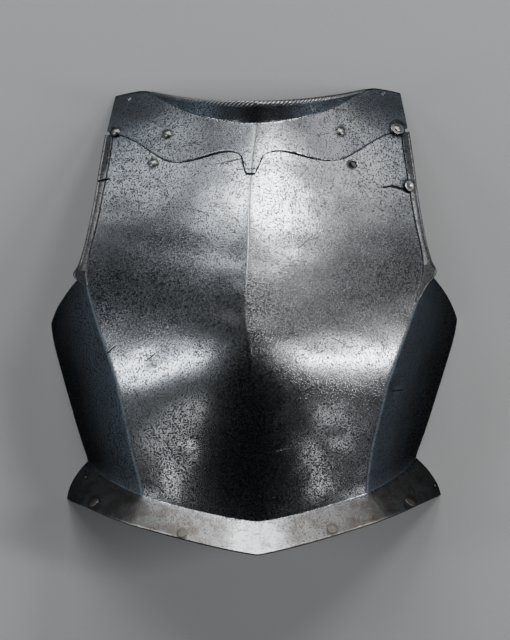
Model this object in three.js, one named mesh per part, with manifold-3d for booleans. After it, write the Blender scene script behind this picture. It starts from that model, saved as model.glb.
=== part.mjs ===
// Breastplate of a steel cuirass: a keeled chest plate with a flared waist flange, a neck plate
// riveted over its top, a border strip (gusset) along each arm opening, and their rivets.
//
// Frame, in millimetres: the plate lies on its back edges, chest up. +Y points to the neck, +Z out of
// the chest and +X to the onlooker's right. The origin is on the surface that the back edges rest on,
// under the middle of the plate.
import * as THREE from "three";
import { mergeVertices } from "three/addons/utils/BufferGeometryUtils.js";
import Module from "manifold-3d";

const wasm = await Module();
wasm.setup();

// ---- Driving dimensions ----
const BREAST_THICKNESS = 2.0;
const NECK_THICKNESS = 1.5;
const GUSSET_THICKNESS = 1.3;
const GAP = 0.4; // between neighbouring pieces
const HOLE_CLEARANCE = 0.4; // round a rivet's shank

// The old plate is racked a little out of square.
const RACK = { sideways: 0.0165, upwards: 0.011 }; // along X for each mm of Y, along Y for each mm of X

const ARM_CORNER = 42; // height where the arm opening ends and the side panel begins
const WAIST = -184; // height of the waist at the medial ridge
const WAIST_DIP = 1.3; // how the waist curves down from the side crease to the ridge
const SIDE_BELLY = 0.74; // the side panel's fullness, as a share of its width
const SIDE_SHOULDER = 0.5; // and of the crease's height above the ground

const NECK_HALF_WIDTH = 106;
const NECK_LOW = 174.3; // height of the neck's bend at the ridge
const NECK_CURVE = 0.0031; // how fast the bend climbs towards the shoulders
const NECK_FLANGE_RISE = 16.6; // how far the neck's flange stands up at the ridge
const NECK_FLANGE_LEAN = 0.75; // how far it leans out for each millimetre of rise
const NECK_FLANGE_FADE = 2.1; // how it fades towards the shoulders
const NECK_FLANGE_END = 100;
const ROLL_RADIUS = { middle: 2.7, end: 1.5 };
const TOP_LAP = 7; // the breast plate's top edge is this far under the neck plate's bend
const TOP_MOST = 181; // and never higher than this
const EDGE_SPAN = 139; // half width over which the neck plate's outline is stated
const NECK_OVERHANG = 1.012; // the neck plate's arm edge, past the breast plate's own

const BEAD_RADIUS = 1.2; // along a gusset's outer edge

// How finely the pieces are faceted.
const PLATE_STEPS = { front: 12, side: 6, armRows: 11, sideRows: 18, flangeRows: 3 };
const NECK_STEPS = { plateRows: 5, flangeRows: 2, roll: 28, rollSides: 8, beadArc: 6 };
const RIVET_STEPS = { dome: 3, sides: 12, seatSides: 24, holeSides: 16 };
const DRILL_REACH = 12; // to each side of the plate, so that a hole goes right through

// Level sections of the front, from the shoulders to the waist. "at" is the height at the medial ridge,
// edge* is where the section meets the arm opening or the side crease (mirrored to both sides), and
// keel and fall are its slopes at the ridge and at that edge.
const SECTIONS = [
  { at: 214, ridgeX: -0.8, ridgeZ: 71, edgeX: 129.8, edgeY: 214, edgeZ: -3.6, keel: 0.2, fall: 0.75 },
  { at: 172, ridgeX: -1.8, ridgeZ: 94, edgeX: 137.2, edgeY: 172, edgeZ: 23, keel: 0.23, fall: 0.7 },
  { at: 133, ridgeX: -5.4, ridgeZ: 113.5, edgeX: 143, edgeY: 133, edgeZ: 43, keel: 0.26, fall: 0.65 },
  { at: 96, ridgeX: -6.4, ridgeZ: 130, edgeX: 147.8, edgeY: 96, edgeZ: 60, keel: 0.27, fall: 0.605 },
  { at: 55, ridgeX: -6.4, ridgeZ: 144.6, edgeX: 154.3, edgeY: 55, edgeZ: 74.5, keel: 0.27, fall: 0.565 },
  { at: 42, ridgeX: -6.9, ridgeZ: 148.8, edgeX: 154, edgeY: 42, edgeZ: 79.5, keel: 0.27, fall: 0.555 },
  { at: 5, ridgeX: -7.2, ridgeZ: 159.2, edgeX: 144.7, edgeY: 5, edgeZ: 94, keel: 0.265, fall: 0.58 },
  { at: -22, ridgeX: -4.9, ridgeZ: 165, edgeX: 134.5, edgeY: -23, edgeZ: 103, keel: 0.25, fall: 0.61 },
  { at: -55, ridgeX: -1.9, ridgeZ: 163, edgeX: 123.8, edgeY: -54, edgeZ: 108.4, keel: 0.1, fall: 0.62 },
  { at: -90, ridgeX: 1.2, ridgeZ: 152.7, edgeX: 115.6, edgeY: -86, edgeZ: 107, keel: 0.05, fall: 0.6 },
  { at: -125, ridgeX: 3.3, ridgeZ: 137.8, edgeX: 109, edgeY: -117, edgeZ: 101, keel: 0.05, fall: 0.56 },
  { at: -155, ridgeX: 5.2, ridgeZ: 124.4, edgeX: 104.2, edgeY: -142, edgeZ: 94, keel: 0.08, fall: 0.5 },
  { at: -172, ridgeX: 6, ridgeZ: 117.7, edgeX: 102.2, edgeY: -154, edgeZ: 90, keel: 0.1, fall: 0.46 },
  { at: -184, ridgeX: 6.2, ridgeZ: 114, edgeX: 101.5, edgeY: -161.5, edgeZ: 88, keel: 0.12, fall: 0.42 },
];
const WAIST_SHIFT = { by: 2.8, from: 125, to: 184 }; // both creases bend this way towards the uneven waist

// The side panels' back edge, which lies on the ground, for the sections that have one.
const REAR_EDGE = [
  { at: 55, x: 191, y: 3 },
  { at: 42, x: 190.5, y: -5 },
  { at: 5, x: 187, y: -26 },
  { at: -22, x: 182.5, y: -42 },
  { at: -55, x: 177, y: -61 },
  { at: -90, x: 171, y: -81 },
  { at: -125, x: 164.7, y: -102 },
  { at: -155, x: 159, y: -119 },
  { at: -172, x: 155.6, y: -128.5 },
  { at: -184, x: 154, y: -134.5 },
];

// The waist flange: how far its free edge lies out of, below and in front of the waist line.
// "at" runs from the ridge (0) over the side crease (1) to the back edge (2); bow rounds it sideways.
const FLANGE = [
  { at: 0, out: 0, down: 28, fore: 20, bow: 0, shift: 0 },
  { at: 0.5, out: 8, down: 24.9, fore: 19, bow: 0, shift: 0 },
  { at: 1, out: 16.5, down: 22.8, fore: 16, bow: 0, shift: 0 },
  { at: 1.5, out: 20, down: 26, fore: 9, bow: 2, shift: 1.3 },
  { at: 2, out: 21.5, down: 35.4, fore: 0, bow: 4.2, shift: 2.6 },
];

// The neck plate's lower edge: a cusped tongue on the ridge, then an ogee out to the arm edge.
const NECK_LOWER_EDGE = [
  { across: 4.4, height: 126 },
  { across: 5, height: 132 },
  { across: 7.2, height: 138.6 },
  { across: 10.5, height: 143.4 },
  { across: 15, height: 146.2 },
  { across: 22.5, height: 147.3 },
  { across: 31.5, height: 146.3 },
  { across: 49.6, height: 141.6 },
  { across: 66, height: 139.4 },
  { across: 80, height: 141.8 },
  { across: 92.3, height: 148.7 },
  { across: 109.7, height: 159.8 },
  { across: 121, height: 165.4 },
  { across: 141, height: 172 },
];

// The shoulder's top edge, from the neck's end to the arm edge.
const SHOULDER_TOP = [
  { across: 106, height: 208.8 },
  { across: 114, height: 210 },
  { across: 124, height: 209.2 },
  { across: 141, height: 206.5 },
];

// A gusset's inner and outer outlines, as distances from the middle plane.
const GUSSET_ROWS = [
  { height: 168, inner: 133.4, outer: 140.2 },
  { height: 153, inner: 134.8, outer: 142.2 },
  { height: 133, inner: 137.4, outer: 144.6 },
  { height: 114, inner: 140.2, outer: 146.6 },
  { height: 96, inner: 142.8, outer: 149.2 },
  { height: 78, inner: 146, outer: 152.3 },
  { height: 60, inner: 150, outer: 156 },
  { height: 47, inner: 151.9, outer: 160 },
  { height: 37.5, inner: 152, outer: 164 },
];
const GUSSET_TAIL = {
  left: [{ height: 28, inner: 150.2, outer: 153.6 }],
  right: [
    { height: 25, inner: 148.6, outer: 155.6 },
    { height: 11, inner: 145, outer: 147.4 },
  ],
};

// Rivets through the front. "through" names the plates they hold, outermost first.
const RIVETS = [
  { name: "rivet_neck_left_outer", x: -130.2, y: 170.8, through: ["neck", "breast"], head: 4.3, rise: 2.9 },
  { name: "rivet_neck_left_inner", x: -80.9, y: 165.8, through: ["neck", "breast"], head: 3.9, rise: 2.8 },
  { name: "rivet_neck_right_inner", x: 75.2, y: 166.1, through: ["neck", "breast"], head: 4.3, rise: 2.9 },
  { name: "rivet_neck_right_outer", x: 128.8, y: 170.7, through: ["neck", "breast"], head: 4.6, rise: 2.6 },
  { name: "rivet_chest_left", x: -94.6, y: 139.5, through: ["breast"], head: 4.4, rise: 3 },
  { name: "rivet_gusset_right", x: 139.3, y: 116.4, through: ["gusset", "breast"], head: 5, rise: 1.6 },
];
const SHANK_RADIUS = 1.6;
const TAIL_RADIUS = 3;
const TAIL_HEIGHT = 0.9;

// Rivets in the waist flange: side of the ridge, place along the waist, share of the flange's width.
const FLANGE_RIVETS = [
  { name: "rivet_flange_left_end", side: -1, along: 1.79, down: 0.27, head: 1.5, rise: 0.8 },
  { name: "rivet_flange_left_outer", side: -1, along: 1.41, down: 0.78, head: 4.3, rise: 1.8 },
  { name: "rivet_flange_left_inner", side: -1, along: 0.57, down: 0.85, head: 4, rise: 1.2 },
  { name: "rivet_flange_right_inner", side: 1, along: 0.6, down: 0.79, head: 4.3, rise: 1 },
  { name: "rivet_flange_right_outer", side: 1, along: 1.36, down: 0.83, head: 4.9, rise: 1.1 },
  { name: "rivet_flange_right_end", side: 1, along: 1.92, down: 0.71, head: 1.5, rise: 0.8 },
];
const SEAT_DEPTH = 4; // more than enough to clear what lies over a seat
const END_SHANK_RADIUS = 0.8;
const END_TAIL_RADIUS = 1.3;

// Open holes: two strap holes in the shoulders and an empty rivet hole in the chest.
const NECK_HOLES = [
  { x: -118.8, y: 202.6, radius: 2.4 },
  { x: 115.8, y: 204.6, radius: 1.9 },
];
const CHEST_HOLE = { x: 88.7, y: 137, radius: 3 };

// ---- Interpolation ----

// The value of a table's column at a key, on a smooth curve through its rows.
function column(rows, key, name, at) {
  const sign = rows[0][key] < rows[rows.length - 1][key] ? 1 : -1;
  let i = 0;
  while (i < rows.length - 2 && sign * rows[i + 1][key] < sign * at) i++;
  const gap = (k) => rows[k + 1][key] - rows[k][key];
  const rate = (k) => (rows[k + 1][name] - rows[k][name]) / gap(k);
  const slope = (k) => {
    if (k === 0) return rate(0);
    if (k === rows.length - 1) return rate(k - 1);
    return (gap(k) * rate(k - 1) + gap(k - 1) * rate(k)) / (gap(k - 1) + gap(k));
  };
  const [row, next] = [rows[i], rows[i + 1]];
  const step = next[key] - row[key];
  return hermite(row[name], next[name], slope(i) * step, slope(i + 1) * step, (at - row[key]) / step);
}

function hermite(start, end, startSlope, endSlope, t) {
  const t2 = t * t;
  const t3 = t2 * t;
  return (
    start * (2 * t3 - 3 * t2 + 1) +
    startSlope * (t3 - 2 * t2 + t) +
    end * (3 * t2 - 2 * t3) +
    endSlope * (t3 - t2)
  );
}

const lerp = THREE.MathUtils.lerp;
const section = (name, at) => column(SECTIONS, "at", name, at);
const rear = (name, at) => column(REAR_EDGE, "at", name, at);

// ---- The outer surface ----

// A point of the front, from the ridge (u = 0) to the arm edge or crease (u = 1), on one side (-1 or 1).
function frontPoint(side, u, at) {
  const ridgeX = section("ridgeX", at);
  const edgeX = side * section("edgeX", at) + creaseShift(at);
  const width = Math.abs(edgeX - ridgeX);
  const keel = -width * section("keel", at);
  const fall = -width * section("fall", at);
  return new THREE.Vector3(
    lerp(ridgeX, edgeX, u),
    lerp(at, section("edgeY", at), u ** WAIST_DIP),
    hermite(section("ridgeZ", at), section("edgeZ", at), keel, fall, u),
  );
}

function creaseShift(at) {
  return WAIST_SHIFT.by * THREE.MathUtils.smoothstep(-at, WAIST_SHIFT.from, WAIST_SHIFT.to);
}

// A point of a side panel, from the crease (s = 0) to the back edge (s = 1).
function sidePoint(side, s, at) {
  const crease = frontPoint(side, 1, at);
  const back = new THREE.Vector3(side * rear("x", at), rear("y", at), 0);
  const belly = new THREE.Vector3(
    lerp(crease.x, back.x, SIDE_BELLY),
    lerp(crease.y, back.y, 0.5),
    crease.z * SIDE_SHOULDER,
  );
  return new THREE.QuadraticBezierCurve3(crease, belly, back).getPoint(s);
}

// A point of the whole plate: along runs from the ridge (0) over the crease (1) to the back edge (2).
function platePoint(side, along, at) {
  return along <= 1 ? frontPoint(side, along, at) : sidePoint(side, along - 1, at);
}

// A point of the waist flange, from the waist (down = 0) to its free edge (down = 1).
function flangePoint(side, along, down) {
  const edge = (name) => column(FLANGE, "at", name, along);
  const bow = 4 * down * (1 - down) * edge("bow");
  const across = side * (down * edge("out") + bow) + down * edge("shift");
  const step = new THREE.Vector3(across, -down * edge("down"), down * edge("fore"));
  return platePoint(side, along, WAIST).add(step);
}

// The front's point at a given x and height, for heights where its sections are level.
function frontAt(x, y) {
  const side = Math.sign(x - section("ridgeX", y)) || 1;
  const ridgeX = section("ridgeX", y);
  return frontPoint(side, (x - ridgeX) / (side * section("edgeX", y) - ridgeX), y);
}

// A surface's point and outward normal, from a function of two parameters.
function frameOf(point, a, b) {
  const step = 0.01;
  const alongA = point(a + step, b).sub(point(a - step, b));
  const alongB = point(a, b + step).sub(point(a, b - step));
  const normal = alongA.cross(alongB).normalize();
  if (normal.z < 0) normal.negate();
  return { point: point(a, b), normal };
}

// ---- Solids ----

function geometryOf(positions, indices) {
  const geometry = new THREE.BufferGeometry();
  geometry.setAttribute("position", new THREE.Float32BufferAttribute(positions, 3));
  geometry.setIndex(indices);
  return geometry;
}

function solidOf(geometry) {
  const bare = geometry.clone().deleteAttribute("normal").deleteAttribute("uv");
  const merged = mergeVertices(bare, 1e-3);
  return new wasm.Manifold(
    new wasm.Mesh({
      numProp: 3,
      vertProperties: merged.attributes.position.array,
      triVerts: new Uint32Array(merged.index.array),
    }),
  );
}

function geometryFrom(solid) {
  const mesh = solid.getMesh();
  return geometryOf(Array.from(mesh.vertProperties), Array.from(mesh.triVerts));
}

// The four corners of each kept cell of a grid, counterclockwise seen from outside.
function cellsOf(grid, keep) {
  const cells = [];
  for (let i = 0; i < grid.length - 1; i++)
    for (let j = 0; j < grid[0].length - 1; j++)
      if (keep(i, j)) cells.push([[i, j], [i, j + 1], [i + 1, j + 1], [i + 1, j]]);
  return cells;
}

// A grid's outward normals, averaged over the cells that meet at each point.
function normalsOf(grid, cells) {
  const normals = grid.map((line) => line.map(() => new THREE.Vector3()));
  for (const cell of cells) {
    const [a, b, c, d] = cell.map(([i, j]) => grid[i][j]);
    const normal = c.clone().sub(a).cross(d.clone().sub(b)).normalize();
    for (const [i, j] of cell) normals[i][j].add(normal);
  }
  return normals;
}

// The grid moved along its normals. A point on the ground keeps its height.
function layer(grid, normals, offset) {
  return grid.map((line, i) =>
    line.map((point, j) => {
      const normal = normals[i][j].clone();
      if (Math.abs(point.z) < 1e-6) normal.z = 0;
      return point.clone().addScaledVector(normal.normalize(), offset);
    }),
  );
}

// A bent sheet: grid[i][j] runs left to right and top to bottom, and keep(i, j) says which cells it has.
// Its two faces lie at the offsets along the grid's normals, with a wall along each open edge.
function sheet(grid, keep, outerOffset, innerOffset) {
  const cells = cellsOf(grid, keep);
  const normals = normalsOf(grid, cells);
  const layers = [layer(grid, normals, outerOffset), layer(grid, normals, innerOffset)];
  const positions = layers.flat(2).flatMap((point) => point.toArray());
  const behind = grid.length * grid[0].length;
  const faces = cells.map((cell) => cell.map(([i, j]) => i * grid[0].length + j));
  const next = (face, k) => face[(k + 1) % 4];
  const edges = new Set(faces.flatMap((face) => face.map((a, k) => `${a},${next(face, k)}`)));
  const indices = [];
  for (const face of faces) {
    const [a, b, c, d] = face;
    const [e, f, g, h] = face.map((corner) => corner + behind);
    indices.push(a, b, c, a, c, d);
    indices.push(e, g, f, e, h, g);
    face.forEach((from, k) => {
      const to = next(face, k);
      if (!edges.has(`${to},${from}`)) indices.push(to, from, from + behind, to, from + behind, to + behind);
    });
  }
  return solidOf(geometryOf(positions, indices));
}

// The triangles that close a flat ring of points.
function lidOf(ring) {
  const across = ring[1].clone().sub(ring[0]).normalize();
  const normal = new THREE.Vector3();
  ring.forEach((point, i) => normal.add(point.clone().cross(ring[(i + 1) % ring.length])));
  const up = normal.normalize().clone().cross(across);
  const flat = ring.map((point) => new THREE.Vector2(point.dot(across), point.dot(up)));
  return THREE.ShapeUtils.triangulateShape(flat, []);
}

// A solid through closed rings of points, each counterclockwise seen from the next ring's side.
function loft(rings) {
  const count = rings[0].length;
  const positions = rings.flatMap((ring) => ring.flatMap((point) => point.toArray()));
  const last = (rings.length - 1) * count;
  const indices = [];
  for (let k = 0; k < last; k += count)
    for (let i = 0; i < count; i++) {
      const a = k + i;
      const b = k + ((i + 1) % count);
      indices.push(a, b, b + count, a, b + count, a + count);
    }
  for (const [a, b, c] of lidOf(rings[0])) indices.push(a, c, b);
  for (const [a, b, c] of lidOf(rings[rings.length - 1])) indices.push(last + a, last + b, last + c);
  return solidOf(geometryOf(positions, indices));
}

// A round bar along a surface normal, for drilling.
function drill({ point, normal }, radius, reach = DRILL_REACH, sides = RIVET_STEPS.holeSides) {
  const bar = new THREE.CylinderGeometry(radius, radius, 2 * reach, sides);
  bar.applyQuaternion(new THREE.Quaternion().setFromUnitVectors(new THREE.Vector3(0, 1, 0), normal));
  return solidOf(bar.translate(...point.toArray()));
}

// The hole for a rivet's shank.
function shankHole(rivet) {
  return drill(rivetFrame(rivet), shankRadius(rivet) + HOLE_CLEARANCE, DRILL_REACH, RIVET_STEPS.sides);
}

// The flat that a rivet's head sits on, and the one under its tail.
function headSeat(rivet) {
  const frame = raised(rivetFrame(rivet), cover(rivet) + SEAT_DEPTH);
  return drill(frame, rivet.head + GAP, SEAT_DEPTH, RIVET_STEPS.seatSides);
}

function tailSeat(rivet) {
  const frame = raised(rivetFrame(rivet), -BREAST_THICKNESS - SEAT_DEPTH);
  return drill(frame, TAIL_RADIUS + GAP, SEAT_DEPTH, RIVET_STEPS.seatSides);
}

function raised({ point, normal }, height) {
  return { point: point.clone().addScaledVector(normal, height), normal };
}

// Takes each cutter away from a solid.
const cut = (solid, cutters) => cutters.reduce((left, cutter) => left.subtract(cutter), solid);

// Evenly stepped numbers from one value to another, both included.
const steps = (from, to, count) => Array.from({ length: count + 1 }, (_, k) => lerp(from, to, k / count));

// Both sides of a list of places along the plate, from the left edge over the ridge to the right edge.
const bothSides = (places) => [
  ...places.slice(1).reverse().map((along) => ({ side: -1, along })),
  ...places.map((along) => ({ side: 1, along })),
];

// ---- Outlines of the neck plate and of the breast plate's top ----

function neckLine(across) {
  return NECK_LOW + NECK_CURVE * across ** 2;
}

function neckTop(across) {
  return across < NECK_HALF_WIDTH ? neckLine(across) : column(SHOULDER_TOP, "across", "height", across);
}

function neckLower(across) {
  const tip = NECK_LOWER_EDGE[0];
  return across <= tip.across ? tip.height : column(NECK_LOWER_EDGE, "across", "height", across);
}

const breastTop = (across) => Math.min(neckLine(across) - TOP_LAP, TOP_MOST);

const flangeRise = (across) => NECK_FLANGE_RISE * (1 - (across / NECK_HALF_WIDTH) ** NECK_FLANGE_FADE);

// ---- The pieces ----

function breastPlate() {
  const { front, side: sideSteps, armRows, sideRows, flangeRows } = PLATE_STEPS;
  const columns = bothSides([...steps(0, 1, front), ...steps(1, 2, sideSteps).slice(1)]);
  const grid = columns.map(({ side, along }) => {
    const top = along <= 1 ? breastTop(along * EDGE_SPAN) : ARM_CORNER + 1;
    return [
      ...steps(top, ARM_CORNER, armRows).map((at) => platePoint(side, along, at)),
      ...steps(ARM_CORNER, WAIST, sideRows).slice(1).map((at) => platePoint(side, along, at)),
      ...steps(0, 1, flangeRows).slice(1).map((down) => flangePoint(side, along, down)),
    ];
  });
  const inFront = (i) => columns[i].along <= 1 && columns[i + 1].along <= 1;
  const plate = sheet(grid, (i, j) => j >= armRows || inFront(i), 0, -BREAST_THICKNESS);
  const holes = [...RIVETS, ...FLANGE_RIVETS].map(shankHole);
  const seats = FLANGE_RIVETS.flatMap((rivet) => [headSeat(rivet), tailSeat(rivet)]);
  return cut(plate, [...holes, ...seats, drill(frontFrame(CHEST_HOLE), CHEST_HOLE.radius)]);
}

function neckPlate() {
  const outline = NECK_LOWER_EDGE.map((row) => row.across).filter((across) => across < NECK_FLANGE_END);
  const between = [0, 41, 58, 73, 86, NECK_FLANGE_END, NECK_HALF_WIDTH, 114, 122, 131];
  const edge = EDGE_SPAN * NECK_OVERHANG;
  const columns = bothSides([...outline, ...between, edge].sort((a, b) => a - b));
  const grid = columns.map(({ side, along }) => neckColumn(side, along));
  const inNeck = (i) => columns[i].along <= NECK_FLANGE_END && columns[i + 1].along <= NECK_FLANGE_END;
  const plate = sheet(grid, (i, j) => j >= NECK_STEPS.flangeRows || inNeck(i), GAP + NECK_THICKNESS, GAP);
  const holes = RIVETS.filter((rivet) => rivet.through.includes("neck")).map(shankHole);
  const openHoles = NECK_HOLES.map((hole) => drill(frontFrame(hole), hole.radius));
  return cut(plate.add(neckRoll()), [...holes, ...openHoles]);
}

// One line of the neck plate: down its flange to the bend, then down the plate to its lower edge.
function neckColumn(side, across) {
  const { plateRows, flangeRows } = NECK_STEPS;
  const surface = steps(neckTop(across), neckLower(across), plateRows).map((at) =>
    frontPoint(side, across / EDGE_SPAN, at),
  );
  const rise = flangeRise(Math.min(across, NECK_FLANGE_END));
  const flange = steps(rise, 0, flangeRows).slice(0, -1).map((up) => surface[0].clone().add(leaning(up)));
  return [...flange, ...surface];
}

// The way up the neck's flange.
const leaning = (up) => new THREE.Vector3(0, up, up * NECK_FLANGE_LEAN);

// The turned edge along the neck's flange, thickest at the ridge.
function neckRoll() {
  const end = NECK_HALF_WIDTH - 1;
  const acrossFlange = leaning(-1).applyAxisAngle(new THREE.Vector3(1, 0, 0), -Math.PI / 2);
  const lift = acrossFlange.setLength(GAP + NECK_THICKNESS / 2);
  const centre = (x) => {
    const across = Math.abs(x);
    const bend = frontPoint(Math.sign(x) || 1, across / EDGE_SPAN, neckLine(across));
    return bend.add(leaning(flangeRise(across))).add(lift);
  };
  return loft(
    steps(-end, end, NECK_STEPS.roll).map((x) => {
      const along = centre(x + 0.5).sub(centre(x - 0.5)).normalize();
      const up = new THREE.Vector3(0, 0, 1).cross(along).normalize();
      const out = along.clone().cross(up);
      const radius = lerp(ROLL_RADIUS.middle, ROLL_RADIUS.end, (x / NECK_HALF_WIDTH) ** 2);
      return circle(NECK_STEPS.rollSides).map(([a, b]) =>
        centre(x).addScaledVector(up, radius * a).addScaledVector(out, radius * b),
      );
    }),
  );
}

// Corners of a round section of radius 1.
const circle = (sides) =>
  steps(0, 2 * Math.PI, sides)
    .slice(1)
    .map((angle) => [Math.cos(angle), Math.sin(angle)]);

// A border strip along an arm opening, with a small bead on its outer edge and a tail below the corner.
function gusset(side, tail) {
  const rows = [...GUSSET_ROWS, ...tail];
  const onFront = (row, name) => frontAt(side * row[name], row.height);
  const inner = rows.map((row) => onFront(row, "inner"));
  const rings = rows.map((row, k) => {
    const across = onFront(row, "outer").sub(inner[k]);
    const width = across.length();
    const along = inner[Math.min(k + 1, rows.length - 1)].clone().sub(inner[Math.max(k - 1, 0)]);
    const normal = across.normalize().clone().cross(along).normalize();
    if (normal.z < 0) normal.negate();
    const ring = gussetOutline(width).map(([a, up]) =>
      inner[k].clone().addScaledVector(across, a).addScaledVector(normal, GAP + up),
    );
    return side < 0 ? ring.reverse() : ring;
  });
  const rivets = RIVETS.filter((rivet) => rivet.through.includes("gusset") && rivet.x * side > 0);
  return cut(loft(rings), rivets.flatMap((rivet) => [shankHole(rivet), headSeat(rivet)]));
}

// A gusset's section: distance from its inner edge, height over its underside.
function gussetOutline(width) {
  const bead = Math.min(BEAD_RADIUS, width / 3);
  const arc = steps(-Math.PI / 2, (Math.PI * 5) / 6, NECK_STEPS.beadArc).map((angle) => [
    width - bead + bead * Math.cos(angle),
    bead + bead * Math.sin(angle),
  ]);
  return [[0, 0], ...arc, [width - 2 * bead, GUSSET_THICKNESS], [0, GUSSET_THICKNESS]];
}

// ---- Rivets ----

// How high over the breast plate's face the outermost sheet under a rivet's head reaches.
const COVER = { neck: GAP + NECK_THICKNESS, gusset: GAP + GUSSET_THICKNESS, breast: 0 };
const cover = (rivet) => COVER[rivet.through ? rivet.through[0] : "breast"];
const isEnd = (rivet) => rivet.name.endsWith("_end");
const shankRadius = (rivet) => (isEnd(rivet) ? END_SHANK_RADIUS : SHANK_RADIUS);

const frontFrame = ({ x, y }) => frameOf(frontAt, x, y);

function rivetFrame(rivet) {
  if (rivet.along === undefined) return frontFrame(rivet);
  return frameOf((along, down) => flangePoint(rivet.side, along, down), rivet.along, rivet.down);
}

// A rivet: a flat tail inside, a shank through the plates and a low domed head outside.
function rivet(spec) {
  const top = cover(spec) + GAP;
  const bottom = -BREAST_THICKNESS - GAP;
  const shank = shankRadius(spec);
  const tail = isEnd(spec) ? END_TAIL_RADIUS : TAIL_RADIUS;
  const ball = (spec.head ** 2 + spec.rise ** 2) / (2 * spec.rise); // the dome's radius of curvature
  const dome = steps(Math.asin(spec.head / ball), 0, RIVET_STEPS.dome).slice(1, -1);
  const profile = [
    [0, bottom - TAIL_HEIGHT],
    [tail, bottom - TAIL_HEIGHT],
    [tail, bottom],
    [shank, bottom],
    [shank, top],
    [spec.head, top],
    ...dome.map((angle) => [ball * Math.sin(angle), top + spec.rise - ball * (1 - Math.cos(angle))]),
    [0, top + spec.rise],
  ];
  const outline = profile.map(([radius, height]) => new THREE.Vector2(radius, height));
  const geometry = new THREE.LatheGeometry(outline, RIVET_STEPS.sides);
  const { point, normal } = rivetFrame(spec);
  geometry.applyQuaternion(new THREE.Quaternion().setFromUnitVectors(new THREE.Vector3(0, 1, 0), normal));
  return piece(spec.name, geometry.translate(...point.toArray()), steel.rivet);
}

// ---- Assembly ----

const steel = {
  breast: new THREE.MeshStandardMaterial({ color: 0x8f949a, roughness: 0.35, metalness: 1 }),
  neck: new THREE.MeshStandardMaterial({ color: 0x8b9097, roughness: 0.38, metalness: 1 }),
  gusset: new THREE.MeshStandardMaterial({ color: 0x7c8084, roughness: 0.42, metalness: 1 }),
  rivet: new THREE.MeshStandardMaterial({ color: 0xa4a7a9, roughness: 0.3, metalness: 1 }),
};

function piece(name, geometry, material) {
  const mesh = new THREE.Mesh(geometry.applyMatrix4(rack), material);
  mesh.name = name;
  return mesh;
}

// The rack moves every point of the finished pieces alike.
const rack = new THREE.Matrix4();
rack.elements[4] = RACK.sideways;
rack.elements[1] = RACK.upwards;

const cuirass = new THREE.Group();
cuirass.add(piece("breast_plate", geometryFrom(breastPlate()), steel.breast));
cuirass.add(piece("neck_plate", geometryFrom(neckPlate()), steel.neck));
cuirass.add(piece("gusset_left", geometryFrom(gusset(-1, GUSSET_TAIL.left)), steel.gusset));
cuirass.add(piece("gusset_right", geometryFrom(gusset(1, GUSSET_TAIL.right)), steel.gusset));
cuirass.add(...[...RIVETS, ...FLANGE_RIVETS].map(rivet));

export default cuirass;
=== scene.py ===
# %% [markdown]
# # A steel breastplate
# The front half of a cuirass, the body armour of the sixteenth century. It lies on its back edges
# with the chest up, as it would on a table. The packed CAD model is loaded first, as a fixed frame:
# every piece below keeps to its places and sizes, and only its surface gets finer.

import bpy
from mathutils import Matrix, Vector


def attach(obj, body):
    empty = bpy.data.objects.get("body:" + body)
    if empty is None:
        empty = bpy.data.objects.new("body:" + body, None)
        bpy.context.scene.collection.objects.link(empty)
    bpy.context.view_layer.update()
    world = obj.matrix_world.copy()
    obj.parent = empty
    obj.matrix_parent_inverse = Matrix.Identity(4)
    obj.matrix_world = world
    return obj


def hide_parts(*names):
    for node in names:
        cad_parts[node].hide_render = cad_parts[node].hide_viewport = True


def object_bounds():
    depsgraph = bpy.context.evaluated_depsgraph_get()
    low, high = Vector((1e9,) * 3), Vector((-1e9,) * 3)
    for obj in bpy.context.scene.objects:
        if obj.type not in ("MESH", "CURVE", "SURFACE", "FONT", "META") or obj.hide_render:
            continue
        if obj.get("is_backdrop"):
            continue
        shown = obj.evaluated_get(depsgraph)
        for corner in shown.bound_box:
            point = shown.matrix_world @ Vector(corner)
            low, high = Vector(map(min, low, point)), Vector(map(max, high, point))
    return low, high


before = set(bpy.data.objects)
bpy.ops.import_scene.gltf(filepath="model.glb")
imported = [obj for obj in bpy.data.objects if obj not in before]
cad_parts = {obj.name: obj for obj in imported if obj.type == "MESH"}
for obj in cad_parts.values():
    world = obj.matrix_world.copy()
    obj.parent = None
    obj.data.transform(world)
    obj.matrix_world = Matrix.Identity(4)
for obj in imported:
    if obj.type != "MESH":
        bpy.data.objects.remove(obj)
cad_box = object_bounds()
print("CAD box, m:", [[round(value, 4) for value in corner] for corner in cad_box])

# %% Other modules, and the one unit change
import math

import bmesh
import bpy
import numpy as np
from mathutils import Matrix, Vector

MM = 0.001  # the plate's sizes are given in millimetres, Blender's are metres
print("sizes in mm, meshes in m")

# %% [markdown]
# ## The armourer's measurements
# A plate like this is raised from one sheet with hammers over stakes, so it has no flat or round
# part that a ready-made solid could give. Its shape is held by level sections instead: how high the
# medial ridge stands, where the section meets the arm opening or the side crease, and how steeply
# it leaves the one and reaches the other. A few rows are enough, because a smooth curve runs
# through them.

# %% Level sections, back edge and waist flange
THICKNESS = 2.0  # of the breast plate
RACK = {"sideways": 0.0165, "upwards": 0.011}  # the old plate is a little out of square
ARM_CORNER = 42  # how far up the chest the arm openings end and the side panels start
WAIST = -184  # and where the waist flange turns out
WAIST_DIP = 1.3  # how late each row turns from the ridge towards its place on the crease
SIDE_BELLY = 0.74  # where a side panel bulges most, from its crease to its back edge
SIDE_SHOULDER = 0.5  # and how high that is, as a share of the crease's height
WAIST_SHIFT = {"by": 2.8, "from": 125, "to": 184}  # the waist stands a little to one side


def table(names, *rows):
    """Rows of numbers under column names, as arrays in rising order of the first column."""
    columns = np.array(sorted(rows), dtype=float).T
    return dict(zip(names.split(), columns))


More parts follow.
